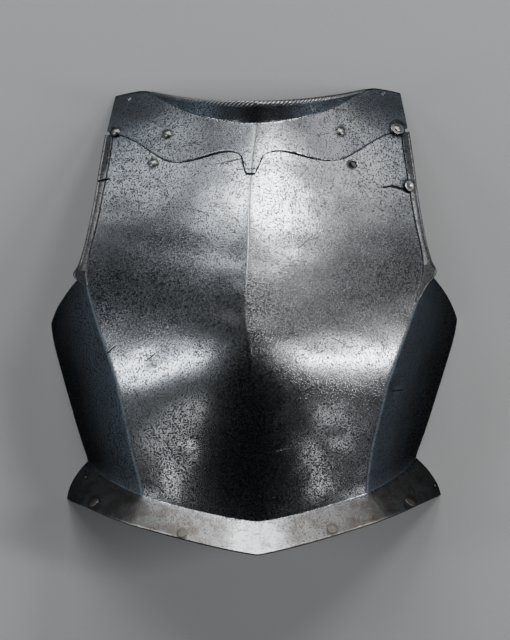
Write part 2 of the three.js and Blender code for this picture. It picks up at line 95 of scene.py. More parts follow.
SECTIONS = table(
    "at ridge_x ridge_z edge_x edge_y edge_z keel fall",
    (214, -0.8, 71, 129.8, 214, -3.6, 0.2, 0.75),
    (172, -1.8, 94, 137.2, 172, 23, 0.23, 0.7),
    (133, -5.4, 113.5, 143, 133, 43, 0.26, 0.65),
    (96, -6.4, 130, 147.8, 96, 60, 0.27, 0.605),
    (55, -6.4, 144.6, 154.3, 55, 74.5, 0.27, 0.565),
    (42, -6.9, 148.8, 154, 42, 79.5, 0.27, 0.555),
    (5, -7.2, 159.2, 144.7, 5, 94, 0.265, 0.58),
    (-22, -4.9, 165, 134.5, -23, 103, 0.25, 0.61),
    (-55, -1.9, 163, 123.8, -54, 108.4, 0.1, 0.62),
    (-90, 1.2, 152.7, 115.6, -86, 107, 0.05, 0.6),
    (-125, 3.3, 137.8, 109, -117, 101, 0.05, 0.56),
    (-155, 5.2, 124.4, 104.2, -142, 94, 0.08, 0.5),
    (-172, 6, 117.7, 102.2, -154, 90, 0.1, 0.46),
    (-184, 6.2, 114, 101.5, -161.5, 88, 0.12, 0.42),
)
REAR_EDGE = table(
    "at x y",
    (55, 191, 3),
    (42, 190.5, -5),
    (5, 187, -26),
    (-22, 182.5, -42),
    (-55, 177, -61),
    (-90, 171, -81),
    (-125, 164.7, -102),
    (-155, 159, -119),
    (-172, 155.6, -128.5),
    (-184, 154, -134.5),
)
FLANGE = table(
    "at out down fore bow shift",
    (0, 0, 28, 20, 0, 0),
    (0.5, 8, 24.9, 19, 0, 0),
    (1, 16.5, 22.8, 16, 0, 0),
    (1.5, 20, 26, 9, 2, 1.3),
    (2, 21.5, 35.4, 0, 4.2, 2.6),
)
print("rows:", [len(rows["at"]) for rows in (SECTIONS, REAR_EDGE, FLANGE)])

# %% [markdown]
# ## From measurements to a surface
# Between two rows the value follows a Hermite curve: it leaves and arrives with the slope that the
# neighbouring rows suggest, which is how a draughtsman's spline behaves. All of it works on whole
# arrays, so a fine grid costs no more effort than one point.

# %% Smooth curves through a table, and across a section


def hermite(start, end, start_slope, end_slope, t):
    t2 = t * t
    t3 = t2 * t
    return (
        start * (2 * t3 - 3 * t2 + 1)
        + start_slope * (t3 - 2 * t2 + t)
        + end * (3 * t2 - 2 * t3)
        + end_slope * (t3 - t2)
    )


def column(rows, name, at):
    """A table's column at any key, on a smooth curve through its rows."""
    key = next(iter(rows.values()))
    value = rows[name]
    gap = np.diff(key)
    rate = np.diff(value) / gap
    inner = (gap[1:] * rate[:-1] + gap[:-1] * rate[1:]) / (gap[1:] + gap[:-1])
    slope = np.concatenate([rate[:1], inner, rate[-1:]])
    i = np.clip(np.searchsorted(key, at) - 1, 0, len(key) - 2)
    step = key[i + 1] - key[i]
    t = (at - key[i]) / step
    return hermite(value[i], value[i + 1], slope[i] * step, slope[i + 1] * step, t)


def blend(start, end, t):
    return start + (end - start) * t


def smooth_step(t):
    t = np.clip(t, 0, 1)
    return t * t * (3 - 2 * t)


print("ridge stands", round(float(column(SECTIONS, "ridge_z", -22)), 1), "mm high at its apex")

# %% [markdown]
# The front is drawn from the ridge to the side crease, and the side panel from the crease down to
# the back edge. A hammered ridge is never a knife edge, so the first millimetre or two on either
# side of it is rounded: the polish has worn it. The crease is rounded the same way, with a short
# arc between the two surfaces.

# %% The plate's outer surface
RIDGE_ROUNDING = 0.007  # share of the half width
CREASE_ROUNDING = {"front": 0.012, "side": 0.03}
FLANGE_EASE = 6  # how much wider the arc has grown at the flange's free edge


def waist_shift(at):
    start, end = WAIST_SHIFT["from"], WAIST_SHIFT["to"]
    return WAIST_SHIFT["by"] * smooth_step((-at - start) / (end - start))


def front_point(side, u, at):
    """A point of the front: u runs from the ridge (0) to the arm edge or crease (1)."""
    worn = np.sqrt(u * u + RIDGE_ROUNDING**2) - RIDGE_ROUNDING
    ridge_x = column(SECTIONS, "ridge_x", at)
    edge_x = side * column(SECTIONS, "edge_x", at) + waist_shift(at)
    width = np.abs(edge_x - ridge_x)
    height = hermite(
        column(SECTIONS, "ridge_z", at),
        column(SECTIONS, "edge_z", at),
        -width * column(SECTIONS, "keel", at),
        -width * column(SECTIONS, "fall", at),
        worn,
    )
    across = blend(ridge_x, edge_x, u)
    along = blend(at, column(SECTIONS, "edge_y", at), u**WAIST_DIP)
    return np.stack([across, along, height], axis=-1)


def side_point(side, s, at):
    """A point of a side panel: s runs from the crease (0) to the back edge (1)."""
    crease = front_point(side, np.ones_like(s), at)
    x = side * column(REAR_EDGE, "x", at)
    y = column(REAR_EDGE, "y", at)
    back = np.stack([x, y, np.zeros_like(x)], axis=-1)
    middle = blend(crease, back, np.array([SIDE_BELLY, 0.5, 0.0]))
    middle[..., 2] = crease[..., 2] * SIDE_SHOULDER
    t = s[..., None]
    return (1 - t) ** 2 * crease + 2 * t * (1 - t) * middle + t * t * back


def sharp_point(along, at):
    """The plate with its crease still sharp: along runs -2..2, from back edge to back edge."""
    side = np.where(along < 0, -1.0, 1.0)
    far = np.abs(along)
    front = front_point(side, np.minimum(far, 1), at)
    panel = side_point(side, np.clip(far - 1, 0, 1), at)
    return np.where((far <= 1)[..., None], front, panel)


def plate_point(along, at, ease=1.0):
    """The plate, with a short arc over each crease below the arm opening, ease times as wide."""
    along, at, ease = np.broadcast_arrays(*(np.asarray(item, float) for item in (along, at, ease)))
    side = np.where(along < 0, -1.0, 1.0)
    before = 1 - CREASE_ROUNDING["front"] * ease
    beyond = 1 + CREASE_ROUNDING["side"] * ease
    far = np.abs(along)
    near_crease = (far > before) & (far < beyond) & (at < ARM_CORNER)
    q = np.where(far < 1, (far - before) / (1 - before), (far - 1) / (beyond - 1) + 1) / 2
    t = q[..., None]
    arc = (
        (1 - t) ** 2 * sharp_point(side * before, at)
        + 2 * t * (1 - t) * sharp_point(side, at)
        + t * t * sharp_point(side * beyond, at)
    )
    return np.where(near_crease[..., None], arc, sharp_point(along, at))


def flange_point(along, down):
    """The waist flange: down runs from the waist (0) to its free edge (1)."""
    along, down = np.broadcast_arrays(np.asarray(along, float), np.asarray(down, float))
    side = np.where(along < 0, -1.0, 1.0)
    edge = {name: column(FLANGE, name, np.abs(along)) for name in FLANGE}
    bow = 4 * down * (1 - down) * edge["bow"]
    outwards = side * (down * edge["out"] + bow) + down * edge["shift"]
    step = np.stack([outwards, -down * edge["down"], down * edge["fore"]], axis=-1)
    return plate_point(along, WAIST, 1 + FLANGE_EASE * down) + step


print("waist at the ridge:", plate_point(0, WAIST).round(1))
print("flange's tip:", flange_point(0, 1).round(1))

# %% [markdown]
# Rivets, holes and the arm gussets are placed by where they are seen from the front, so one helper
# finds the surface's point and its outward normal at a given place across and along the chest. The
# old plate is a little out of square as well: one shear, applied last of all to every piece, gives
# that.

# %% Point and normal of the front, and the shear


def front_at(x, y):
    """The front's point at a given x and height, where its sections are level."""
    x, y = np.broadcast_arrays(np.asarray(x, float), np.asarray(y, float))
    ridge_x = column(SECTIONS, "ridge_x", y)
    side = np.where(x < ridge_x, -1.0, 1.0)
    width = side * column(SECTIONS, "edge_x", y) - ridge_x
    return front_point(side, (x - ridge_x) / width, y)


def frame_of(surface, a, b, step=0.01):
    """A surface's point and outward normal at two parameters."""
    along_a = surface(a + step, b) - surface(a - step, b)
    along_b = surface(a, b + step) - surface(a, b - step)
    normal = np.cross(along_a, along_b)
    normal = normal / np.linalg.norm(normal, axis=-1, keepdims=True)
    return surface(a, b), np.where(normal[..., 2:] < 0, -normal, normal)


def racked(points):
    """Points in mm, sheared out of square and turned into metres."""
    points = np.asarray(points, float)
    moved = points.copy()
    moved[..., 0] += RACK["sideways"] * points[..., 1]
    moved[..., 1] += RACK["upwards"] * points[..., 0]
    return moved * MM


apex = racked(front_at(column(SECTIONS, "ridge_x", -22), -22))

# %% [markdown]
# ## Bending a sheet
# Every plate here is the same kind of thing: a bent sheet with a thickness and rounded rims.
# Solidify would give it square rims, which look cut by a laser, and Bevel on a fine mesh doubles
# its faces. So the sheet is made by hand: two layers, one on each side of the surface, that draw
# together over the last fraction of a millimetre and meet in one line of points at the open edge.

# %% The sheet maker
RIM = np.array([0.0, 0.1, 0.3, 0.65])  # distances from an open edge where the rim gets its rows


def new_object(name, data):
    """An object at the origin, in the scene."""
    made = bpy.data.objects.new(name, data)
    bpy.context.scene.collection.objects.link(made)
    return made


def keep_values(mesh, label, values):
    """Keeps a number for each of a mesh's points, under a name."""
    attribute = mesh.attributes.new(label, "FLOAT", "POINT")
    attribute.data.foreach_set("value", values.astype(np.float32))


def surface_normals(points):
    along = np.gradient(points, axis=0)
    down = np.gradient(points, axis=1)
    normal = np.cross(down, along)
    return normal / np.linalg.norm(normal, axis=-1, keepdims=True)


def open_edge(keep):
    """The grid points on an open edge of the kept cells, and those that any kept cell uses."""
    count = np.zeros((keep.shape[0] + 1, keep.shape[1] + 1), int)
    for a in (0, 1):
        for b in (0, 1):
            count[a : a + keep.shape[0], b : b + keep.shape[1]] += keep
    return (count > 0) & (count < 4), count > 0


def rim_drop(points, at_edge):
    """How far each layer has closed in on the other: 1 on an open edge, 0 beyond the rim."""
    distance = np.full(at_edge.shape, np.inf)
    distance[at_edge] = 0
    for axis in (0, 1):
        for reach in range(1, len(RIM) + 1):
            for sign in (1, -1):
                edge = np.roll(at_edge, sign * reach, axis)
                step = np.linalg.norm(points - np.roll(points, sign * reach, axis), axis=-1)
                distance = np.where(edge, np.minimum(distance, step), distance)
    inside = np.clip(1 - distance / RIM[-1], 0, 1)
    return 1 - np.sqrt(1 - inside**2)


def bent_sheet(name, points, keep, outer, inner, marks=None):
    """A sheet over a grid of points, left to right and top to bottom, in mm."""
    at_edge, used = open_edge(keep)
    drop = rim_drop(points, at_edge)[..., None] * (outer - inner) / 2
    normals = surface_normals(points)
    above = points + normals * (outer - drop)
    below = points + normals * (inner + drop)
    number = np.full((2, *used.shape), -1)
    number[0][used] = np.arange(used.sum())
    hidden = used & ~at_edge
    number[1][used] = number[0][used]
    number[1][hidden] = used.sum() + np.arange(hidden.sum())
    positions = np.concatenate([above[used], below[hidden]])
    positions[:, 2] = np.maximum(positions[:, 2], 0)
    i, j = np.nonzero(keep)
    cells = [number[:, i, j], number[:, i, j + 1], number[:, i + 1, j + 1], number[:, i + 1, j]]
    front = np.stack([cell[0] for cell in cells], axis=1)
    back = np.stack([cell[1] for cell in reversed(cells)], axis=1)
    mesh = bpy.data.meshes.new(name)
    mesh.from_pydata(racked(positions).tolist(), [], np.concatenate([front, back]).tolist())
    marks = {"inside": (np.zeros(used.shape), np.ones(used.shape)), **(marks or {})}
    for mark, (on_front, on_back) in marks.items():
        keep_values(mesh, mark, np.concatenate([on_front[used], on_back[hidden]]))
    mesh.shade_smooth()
    print(name, "has", len(mesh.polygons), "faces")
    return new_object(name, mesh)


def spaced(*stops, step):
    """Places from stop to stop, about one step apart."""
    places = []
    for start, end in zip(stops, stops[1:]):
        count = max(1, round(abs(end - start) / step))
        places += [blend(start, end, k / count) for k in range(count)]
    return np.array([*places, stops[-1]])


print("rim rows at", RIM.tolist(), "mm")

# %% [markdown]
# ## The breast plate
# The grid's lines run the way an armourer thinks: level rows from the neck down to the waist and
# the flange, and columns from the ridge out over the crease to the back edge. Above the arm
# openings' lower corners only the front has metal. Rows and columns crowd together at every open
# edge, at the ridge and at the creases, where the light changes fastest. Small dents and the
# hammer's unevenness are real displacement, so that they bend the reflections as they do on old
# plate.

# %% Hammer marks and dents


def unevenness(points, size, height, seed):
    """Soft bumps about size mm wide, from a few crossed waves with a fixed seed."""
    rng = np.random.default_rng(seed)
    total = np.zeros(points.shape[:-1])
    for _ in range(14):
        direction = rng.normal(size=3)
        wave = direction / np.linalg.norm(direction) * 2 * math.pi / (size * rng.uniform(0.7, 1.6))
        total += np.sin(points @ wave + rng.uniform(0, 2 * math.pi))
    return total * height / math.sqrt(14)


WAVES = [(34, 0.09, 3), (13, 0.018, 4)]  # width and height of the unevenness, in mm, and its seed
DENTS = [  # across, along, radius, depth, in mm, as seen from the front
    (128, -66, 9, 0.9),
    (-22, 4, 13, 0.5),
    (-5, -22, 14, 0.12),
    (-12, 22, 10, -0.35),
    (24, -12, 9, 0.3),
    (-70, 60, 16, 0.15),
    (60, 95, 14, 0.15),
    (-96, -40, 12, 0.5),
    (75, -110, 13, 0.5),
    (-60, -120, 15, 0.5),
    (141, 118, 8, 0.5),
    (-71, 157, 8, 0.3),
]


def hammered(points, normals, fade):
    """The points moved by hammer marks and dents, as far as fade allows."""
    depth = sum(unevenness(points, *wave) for wave in WAVES)
    for across, along, radius, depth_there in DENTS:
        far = ((points[..., 0] - across) ** 2 + (points[..., 1] - along) ** 2) / radius**2
        depth = depth - depth_there * np.exp(-2 * far)
    return points + normals * (depth * fade)[..., None]


print("dents:", len(DENTS))

# %% Where the breast plate's columns run
HALF_WIDTH = 140.0  # about how far it is from the ridge to an arm edge or crease
PANEL_WIDTH = 90.0  # from a crease to the back edge
COLUMNS = {"front": 64, "side": 34}
BY_RIDGE = np.array([0, 0.15, 0.5, 1.1, 2.0])  # the closest columns, in mm from the ridge
BY_CREASE = np.array([0, 0.3, 0.8, 1.5, 2.5])  # and from the crease

places = np.concatenate(
    [
        BY_RIDGE / HALF_WIDTH,
        np.linspace(4 / HALF_WIDTH, 1 - 4 / HALF_WIDTH, COLUMNS["front"]),
        1 - np.array([2.4, *RIM[:0:-1]]) / HALF_WIDTH,
        1 + BY_CREASE / PANEL_WIDTH,
        np.linspace(1 + 5 / PANEL_WIDTH, 2 - 3 / PANEL_WIDTH, COLUMNS["side"]),
        2 - RIM[::-1] / PANEL_WIDTH,
    ]
)
along_plate = np.concatenate([-places[:0:-1], places])
from_ridge = np.abs(along_plate)
print("columns:", len(along_plate))

# %% Where its rows run
NECK_LOW = 174.3  # where the neck plate bends forward, at the ridge
NECK_CURVE = 0.0031  # how fast that bend rises on either side
EDGE_SPAN = 139  # from the ridge to the arm edge at the neck
TOP_LAP = 7  # how far the breast plate stops below the bend, hidden under the neck plate
TOP_MOST = 181
ARM_HEIGHT = 130  # of an arm opening
FLANGE_REACH = 30.0
ROWS = {"arms": 64, "belly": 104, "flange": 14}

arm_shares = np.concatenate([RIM / ARM_HEIGHT, np.linspace(0.02, 1, ROWS["arms"])])
heights = np.concatenate(
    [
        ARM_CORNER - RIM[1:],
        np.linspace(ARM_CORNER - 2.5, WAIST + 2.2, ROWS["belly"]),
        WAIST + np.array([1.2, 0.5, 0]),
    ]
)
downs = np.concatenate(
    [
        [0.02, 0.05, 0.1],
        np.linspace(0.15, 1 - 2 / FLANGE_REACH, ROWS["flange"]),
        1 - RIM[::-1] / FLANGE_REACH,
    ]
)


def neck_line(across):
    """How far up the neck plate bends forward."""
    return NECK_LOW + NECK_CURVE * across**2


def breast_grid():
    top = np.minimum(neck_line(from_ridge * EDGE_SPAN) - TOP_LAP, TOP_MOST)
    top = np.where(from_ridge > 1, ARM_CORNER + 1.0, top)
    upper = [plate_point(along_plate, blend(top, ARM_CORNER, share)) for share in arm_shares]
    lower = [plate_point(along_plate, np.full_like(along_plate, at)) for at in heights]
    flange = [flange_point(along_plate, np.full_like(along_plate, down)) for down in downs]
    return np.stack([*upper, *lower, *flange], axis=1)


grid = breast_grid()
print("columns and rows:", grid.shape[:2])

# %% [markdown]
# The sheet also carries marks for its finish: where the ridge and creases are, where the flange
# rusts, and where its middle is burnished. They lie on the points, so they follow the metal.

# %% Hammer it, mark it, and make the sheet
TRUE_EDGE = 12  # mm along the back edges that stay true, so that the plate rests on them
CALM_RIDGE = {"width": 5, "least": 0.35}  # mm on either side of the ridge, and what is left there
CREASE_MARK = 2.0  # how wide the burnished lines are, in mm
RIDGE_MARK = 1.4
RUSTED = {"from": 0.12, "over": 0.22}  # from the flange's middle outwards
FLANGE_TURN = 0.15  # share of the flange's width over which its marks begin

on_front = from_ridge <= 1
keep = np.ones((grid.shape[0] - 1, grid.shape[1] - 1), bool)
keep[~(on_front[:-1] & on_front[1:]), : len(arm_shares) - 1] = False
from_back = np.clip((2 - from_ridge) * PANEL_WIDTH / TRUE_EDGE, 0, 1)
ridge_calm = np.clip(from_ridge * HALF_WIDTH / CALM_RIDGE["width"], CALM_RIDGE["least"], 1)
grid = hammered(grid, surface_normals(grid), (from_back * ridge_calm)[:, None])

crease_mark, ridge_mark, flange_mark = np.zeros((3, *grid.shape[:2]))
crease_mark[:] = np.exp(-(((from_ridge - 1) * HALF_WIDTH / CREASE_MARK) ** 2))[:, None]
ridge_mark[:] = np.exp(-((along_plate * HALF_WIDTH / RIDGE_MARK) ** 2))[:, None]
rusting = smooth_step((from_ridge - RUSTED["from"]) / RUSTED["over"])[:, None]
turned = smooth_step(downs / FLANGE_TURN)
on_flange = np.s_[:, -len(downs) :]
flange_mark[on_flange] = rusting * turned
crease_mark[on_flange] = np.maximum(crease_mark[on_flange], (1 - rusting) * turned)
marks = {"crease": crease_mark, "ridge": ridge_mark, "flange": flange_mark}
marks = {name: (mark, mark * 0) for name, mark in marks.items()}
breast_plate = bent_sheet("breast_plate_steel", grid, keep, 0, -THICKNESS, marks)

# %% [markdown]
# ## Node trees as Python
# Both the repeating parts (roping, rivets) and the finishes are node trees. Two small helpers keep
# them readable: one stands for what a node gives, so that ordinary arithmetic adds the Math nodes,
# and the other adds any node, its settings first and then what feeds its sockets.

# %% Two helpers for node trees


class Output:
    """What a node gives. Arithmetic on it adds Math nodes to its tree."""

    def __init__(self, nodes, socket):
        self.nodes = nodes
        self.socket = socket

    def __add__(self, other):
        return self.nodes.math("ADD", self, other)

    def __sub__(self, other):
        return self.nodes.math("SUBTRACT", self, other)

    def __rsub__(self, other):
        return self.nodes.math("SUBTRACT", other, self)

    def __mul__(self, other):
        return self.nodes.math("MULTIPLY", self, other)

    def __truediv__(self, other):
        return self.nodes.math("DIVIDE", self, other)

    def __pow__(self, other):
        return self.nodes.math("POWER", self, other)

    def __neg__(self):
        return self * -1

    def __abs__(self):
        return self.nodes.math("ABSOLUTE", self)

    __radd__ = __add__
    __rmul__ = __mul__


class Nodes:
    """Adds nodes to one tree."""

    def __init__(self, tree):
        self.tree = tree

    def feed(self, socket, value):
        """Links an output to a socket, or gives the socket a plain value."""
        if isinstance(value, Output):
            self.tree.links.new(value.socket, socket)
        else:
            socket.default_value = value

    def add(self, kind, sockets=None, **settings):
        node = self.tree.nodes.new(kind)
        for name, value in settings.items():
            setattr(node, name, value)
        for key, value in (sockets or {}).items():
            self.feed(node.inputs[key], value)
        return node

    def get(self, kind, sockets=None, output=0, **settings):
        """One output of a new node."""
        return Output(self, self.add(kind, sockets, **settings).outputs[output])

    def math(self, operation, *values):
        return self.get("ShaderNodeMath", dict(enumerate(values)), operation=operation)

    def vector_math(self, operation, *values, output="Vector"):
        sockets = dict(enumerate(values))
        return self.get("ShaderNodeVectorMath", sockets, output, operation=operation)

    def scaled(self, vector, factor):
        sockets = {"Vector": vector, "Scale": factor}
        return self.get("ShaderNodeVectorMath", sockets, operation="SCALE")

    def vector(self, x=0.0, y=0.0, z=0.0):
        return self.get("ShaderNodeCombineXYZ", {"X": x, "Y": y, "Z": z})

    def parts(self, vector):
        """The X, Y and Z of a vector."""
        node = self.add("ShaderNodeSeparateXYZ", {"Vector": vector})
        return [Output(self, socket) for socket in node.outputs]

    def step(self, value, low, high):
        """0 below low, 1 above high, smooth between; low may be above high for the reverse."""
        if isinstance(low, (int, float)) and isinstance(high, (int, float)) and low > high:
            return 1 - self.step(value, high, low)
        sockets = {"Value": value, "From Min": low, "From Max": high}
        return self.get("ShaderNodeMapRange", sockets, "Result", interpolation_type="SMOOTHSTEP")


print("helpers ready:", Output.__name__, Nodes.__name__)

# %% [markdown]
# ## The neck plate
# A second, thinner plate is riveted over the top of the chest. Its upper edge is bent forward into
# a flange that keeps a blade from sliding up to the throat, and its lower edge is cut to an ogee
# with a tongue on the ridge. It is one bent sheet again: each column starts on the flange, turns
# round the bend in a short arc, and runs down the chest to the cut edge.

# %% The neck plate's outline
GAP = 0.4  # between the breast plate and what is riveted over it
NECK_THICKNESS = 1.5
NECK_HALF_WIDTH = 106
NECK_FLANGE = {"rise": 16.6, "lean": 0.75, "fade": 2.1, "end": 104}  # the end is across, in mm
NECK_BEND = 2.2  # from the corner to where its arc begins
OVERHANG = 1.012
NECK_LOWER_EDGE = table(
    "across height",
    (4.4, 126),
    (5, 132),
    (7.2, 138.6),
    (10.5, 143.4),
    (15, 146.2),
    (22.5, 147.3),
    (31.5, 146.3),
    (49.6, 141.6),
    (66, 139.4),
    (80, 141.8),
    (92.3, 148.7),
    (109.7, 159.8),
    (121, 165.4),
    (141, 172),
)
SHOULDER_TOP = table("across height", (106, 208.8), (114, 210), (124, 209.2), (141, 206.5))


def flange_rise(across):
    fade = (across / NECK_HALF_WIDTH) ** NECK_FLANGE["fade"]
    return NECK_FLANGE["rise"] * np.clip(1 - fade, 0, 1)


def neck_top(across):
    shoulder = column(SHOULDER_TOP, "height", np.maximum(across, NECK_HALF_WIDTH))
    return np.where(across < NECK_HALF_WIDTH, neck_line(across), shoulder)


def neck_lower(across):
    return column(NECK_LOWER_EDGE, "height", np.maximum(across, NECK_LOWER_EDGE["across"][0]))


def leaning(up):
    """The way up the neck's flange."""
    return np.stack([np.zeros_like(up), up, up * NECK_FLANGE["lean"]], axis=-1)


for from_middle in (0.0, 50.0, 100.0):
    print("flange at", from_middle, "mm rises", round(float(flange_rise(from_middle)), 1), "mm")

# %% The neck plate's grid
NECK_ROWS = {"flange": 14, "chest": 30}
shoulder_edge = EDGE_SPAN * OVERHANG
across_half = np.concatenate(
    [
        [*BY_RIDGE, 3.2],
        np.arange(NECK_LOWER_EDGE["across"][0], 11, 0.25),
        spaced(11, NECK_FLANGE["end"], step=1.6),
        spaced(NECK_FLANGE["end"] + 0.4, NECK_HALF_WIDTH, step=0.8),
        spaced(NECK_HALF_WIDTH + 1, shoulder_edge - 1.5, step=1.6),
        shoulder_edge - RIM[::-1],
    ]
)
neck_across = np.concatenate([-across_half[:0:-1], across_half])


def neck_grid():
    """The neck plate's points, and how many rows lie above its chest part."""
    side = np.where(neck_across < 0, -1.0, 1.0)
    across = np.abs(neck_across)
    u = across / EDGE_SPAN
    top, lower, rise = neck_top(across), neck_lower(across), flange_rise(across)
    bend = front_point(side, u, top)
    corner = np.minimum(NECK_BEND, 0.4 * rise)
    start = bend + leaning(corner)
    end = front_point(side, u, top - corner)
    shares = np.linspace(0, 1, NECK_ROWS["flange"])
    rows = [bend + leaning(blend(rise, corner, share)) for share in shares]
    for q in (0.2, 0.4, 0.6, 0.8):
        rows.append((1 - q) ** 2 * start + 2 * q * (1 - q) * bend + q * q * end)
    first = len(rows)
    length = top - corner - lower
    for share in [0, *np.linspace(0.012, 0.975, NECK_ROWS["chest"])]:
        rows.append(front_point(side, u, top - corner - share * (length - RIM[-1])))
    rows += [front_point(side, u, lower + distance) for distance in RIM[::-1]]
    return np.stack(rows, axis=1), first


neck_points, neck_first = neck_grid()
print("columns and rows:", neck_points.shape[:2])

# %% Hammer it, and make the sheet
in_neck = np.abs(neck_across) <= NECK_FLANGE["end"]
neck_keep = np.ones((neck_points.shape[0] - 1, neck_points.shape[1] - 1), bool)
neck_keep[~(in_neck[:-1] & in_neck[1:]), :neck_first] = False
with np.errstate(invalid="ignore"):
    neck_normals = np.nan_to_num(surface_normals(neck_points))
neck_points = hammered(neck_points, neck_normals, np.ones(neck_points.shape[:2]))
neck_ridge = np.zeros(neck_points.shape[:2])
neck_ridge[:] = np.exp(-((neck_across / RIDGE_MARK) ** 2))[:, None]
neck_marks = {"ridge": (neck_ridge, neck_ridge * 0)}
neck_plate = bent_sheet(
    "neck_plate_steel", neck_points, neck_keep, GAP + NECK_THICKNESS, GAP, neck_marks
)

# %% [markdown]
# ## The roped edge
# The neck's edge is turned over a wire and filed with slanting notches, so that it looks like a
# cord. The notches lean one way on the left half and the other way on the right, and meet in a V at
# the ridge. That is a rule along a path, so Geometry Nodes make it: a round section is swept along
# the edge, and each point sinks where the notch's phase says so. The phase grows with the distance
# from the middle and with the angle round the section, which makes the notches slant.

# %% The path of the roll
ROLL_RADIUS = {"middle": 2.7, "end": 1.5}
ROLL_POINTS = 141


def roll_path(x):
    """Points along the turned edge's core."""
    across = np.abs(x)
    side = np.where(x < 0, -1.0, 1.0)
    bend = front_point(side, across / EDGE_SPAN, neck_line(across))
    lean = NECK_FLANGE["lean"]
    out = np.array([0, -lean, 1]) / math.hypot(1, lean)
    return bend + leaning(flange_rise(across)) + out * (GAP + NECK_THICKNESS / 2)


def path_object(name, points, radii):
    curve = bpy.data.curves.new(name, "CURVE")
    curve.dimensions = "3D"
    spline = curve.splines.new("POLY")
    spline.points.add(len(points) - 1)
    spline.points.foreach_set("co", np.c_[racked(points), np.ones(len(points))].ravel())
    spline.points.foreach_set("radius", radii * MM)
    return new_object(name, curve)


roll_x = np.linspace(1 - NECK_HALF_WIDTH, NECK_HALF_WIDTH - 1, ROLL_POINTS)
roll_radii = blend(ROLL_RADIUS["middle"], ROLL_RADIUS["end"], (roll_x / NECK_HALF_WIDTH) ** 2)
roll_object = path_object("neck_roll", roll_path(roll_x), roll_radii)
print("roll:", len(roll_x), "points, middle at", roll_path(np.array([0.0])).round(1))

# %% Helpers for Geometry Nodes


def new_tree(name, inputs):
    """An empty Geometry Nodes tree with a geometry input, named inputs and a geometry output."""
    tree = bpy.data.node_groups.new(name, "GeometryNodeTree")
    tree.interface.new_socket("Geometry", in_out="INPUT", socket_type="NodeSocketGeometry")
    for label, kind, value in inputs:
        socket = tree.interface.new_socket(label, in_out="INPUT", socket_type=kind)
        if value is not None:
            socket.default_value = value
    tree.interface.new_socket("Geometry", in_out="OUTPUT", socket_type="NodeSocketGeometry")
    nodes = Nodes(tree)
    given = nodes.add("NodeGroupInput").outputs
    return nodes, {socket.name: Output(nodes, socket) for socket in given}


def finish_tree(nodes, geometry, material):
    """Every tree ends in Realize Instances and Set Material."""
    real = nodes.get("GeometryNodeRealizeInstances", {"Geometry": geometry})
    smooth = nodes.get("GeometryNodeSetShadeSmooth", {"Geometry": real})
    made = nodes.get("GeometryNodeSetMaterial", {"Geometry": smooth, "Material": material})
    nodes.add("NodeGroupOutput", {"Geometry": made})
    return nodes.tree


def named(nodes, label, data_type="FLOAT"):
    """What the points keep under a name."""
    kind = "GeometryNodeInputNamedAttribute"
    return nodes.get(kind, {"Name": label}, "Attribute", data_type=data_type)


def marked(nodes, geometry, label, value, data_type="FLOAT"):
    """The geometry with a value kept on its points under a name."""
    kind = "GeometryNodeStoreNamedAttribute"
    sockets = {"Geometry": geometry, "Name": label, "Value": value}
    return nodes.get(kind, sockets, data_type=data_type, domain="POINT")


def made_by(tree, source, name, **inputs):
    """The plain mesh that a tree makes of an object, in a piece of its own."""
    modifier = source.modifiers.new(tree.name, "NODES")
    modifier.node_group = tree
    sockets = [item for item in tree.interface.items_tree if item.in_out == "INPUT"]
    identifiers = {socket.name: socket.identifier for socket in sockets}
    for label, value in inputs.items():
        modifier[identifiers[label.replace("_", " ").title()]] = value
    evaluated = source.evaluated_get(bpy.context.evaluated_depsgraph_get())
    mesh = bpy.data.meshes.new_from_object(evaluated)
    mesh.name = name
    bpy.data.objects.remove(source)
    print(name, "has", len(mesh.polygons), "faces")
    return new_object(name, mesh)


print("geometry helpers:", new_tree.__name__, finish_tree.__name__, made_by.__name__)

# %% The roping tree
ROPING_INPUTS = [
    ("Pitch", "NodeSocketFloat", 3.5 * MM),
    ("Depth", "NodeSocketFloat", 0.9 * MM),
    ("Starts", "NodeSocketInt", 4),
    ("Step", "NodeSocketFloat", 0.35 * MM),
    ("Sides", "NodeSocketInt", 28),
    ("Material", "NodeSocketMaterial", None),
]
NOTCH_SHAPE = 0.8  # below 1 the strands are full and the notches narrow


def roping_tree():
    nodes, given = new_tree("roping", ROPING_INPUTS)
    sockets = {"Curve": given["Geometry"], "Length": given["Step"]}
    path = nodes.get("GeometryNodeResampleCurve", sockets, mode="LENGTH")
    whole = nodes.get("GeometryNodeCurveLength", {"Curve": path})
    run = nodes.get("GeometryNodeSplineParameter", output="Length")
    path = marked(nodes, path, "from_middle", run - whole * 0.5)
    sockets = {"Resolution": given["Sides"], "Radius": 1.0}
    ring = nodes.get("GeometryNodeCurvePrimitiveCircle", sockets, "Curve")
    turn = nodes.get("GeometryNodeSplineParameter", output="Factor")
    ring = marked(nodes, ring, "turn", turn)
    radius = nodes.get("GeometryNodeInputRadius")
    sockets = {"Curve": path, "Profile Curve": ring, "Scale": radius, "Fill Caps": True}
    swept = nodes.get("GeometryNodeCurveToMesh", sockets)
    signed = named(nodes, "from_middle")
    lean = nodes.math("SIGN", signed) * named(nodes, "turn") * given["Starts"]
    phase = abs(signed) / given["Pitch"] + lean
    strand = abs(nodes.math("SINE", phase * math.pi))
    sunk = (strand**NOTCH_SHAPE - 1) * given["Depth"]
    grooved = marked(nodes, swept, "groove", 1 - strand)
    offset = nodes.scaled(nodes.get("GeometryNodeInputNormal"), sunk)
    moved = nodes.get("GeometryNodeSetPosition", {"Geometry": grooved, "Offset": offset})
    return finish_tree(nodes, moved, given["Material"])


worn_steel = bpy.data.materials.new("bright_worn_steel")
neck_roping = made_by(
    roping_tree(), roll_object, "neck_roping", material=worn_steel, pitch=4.2 * MM
)

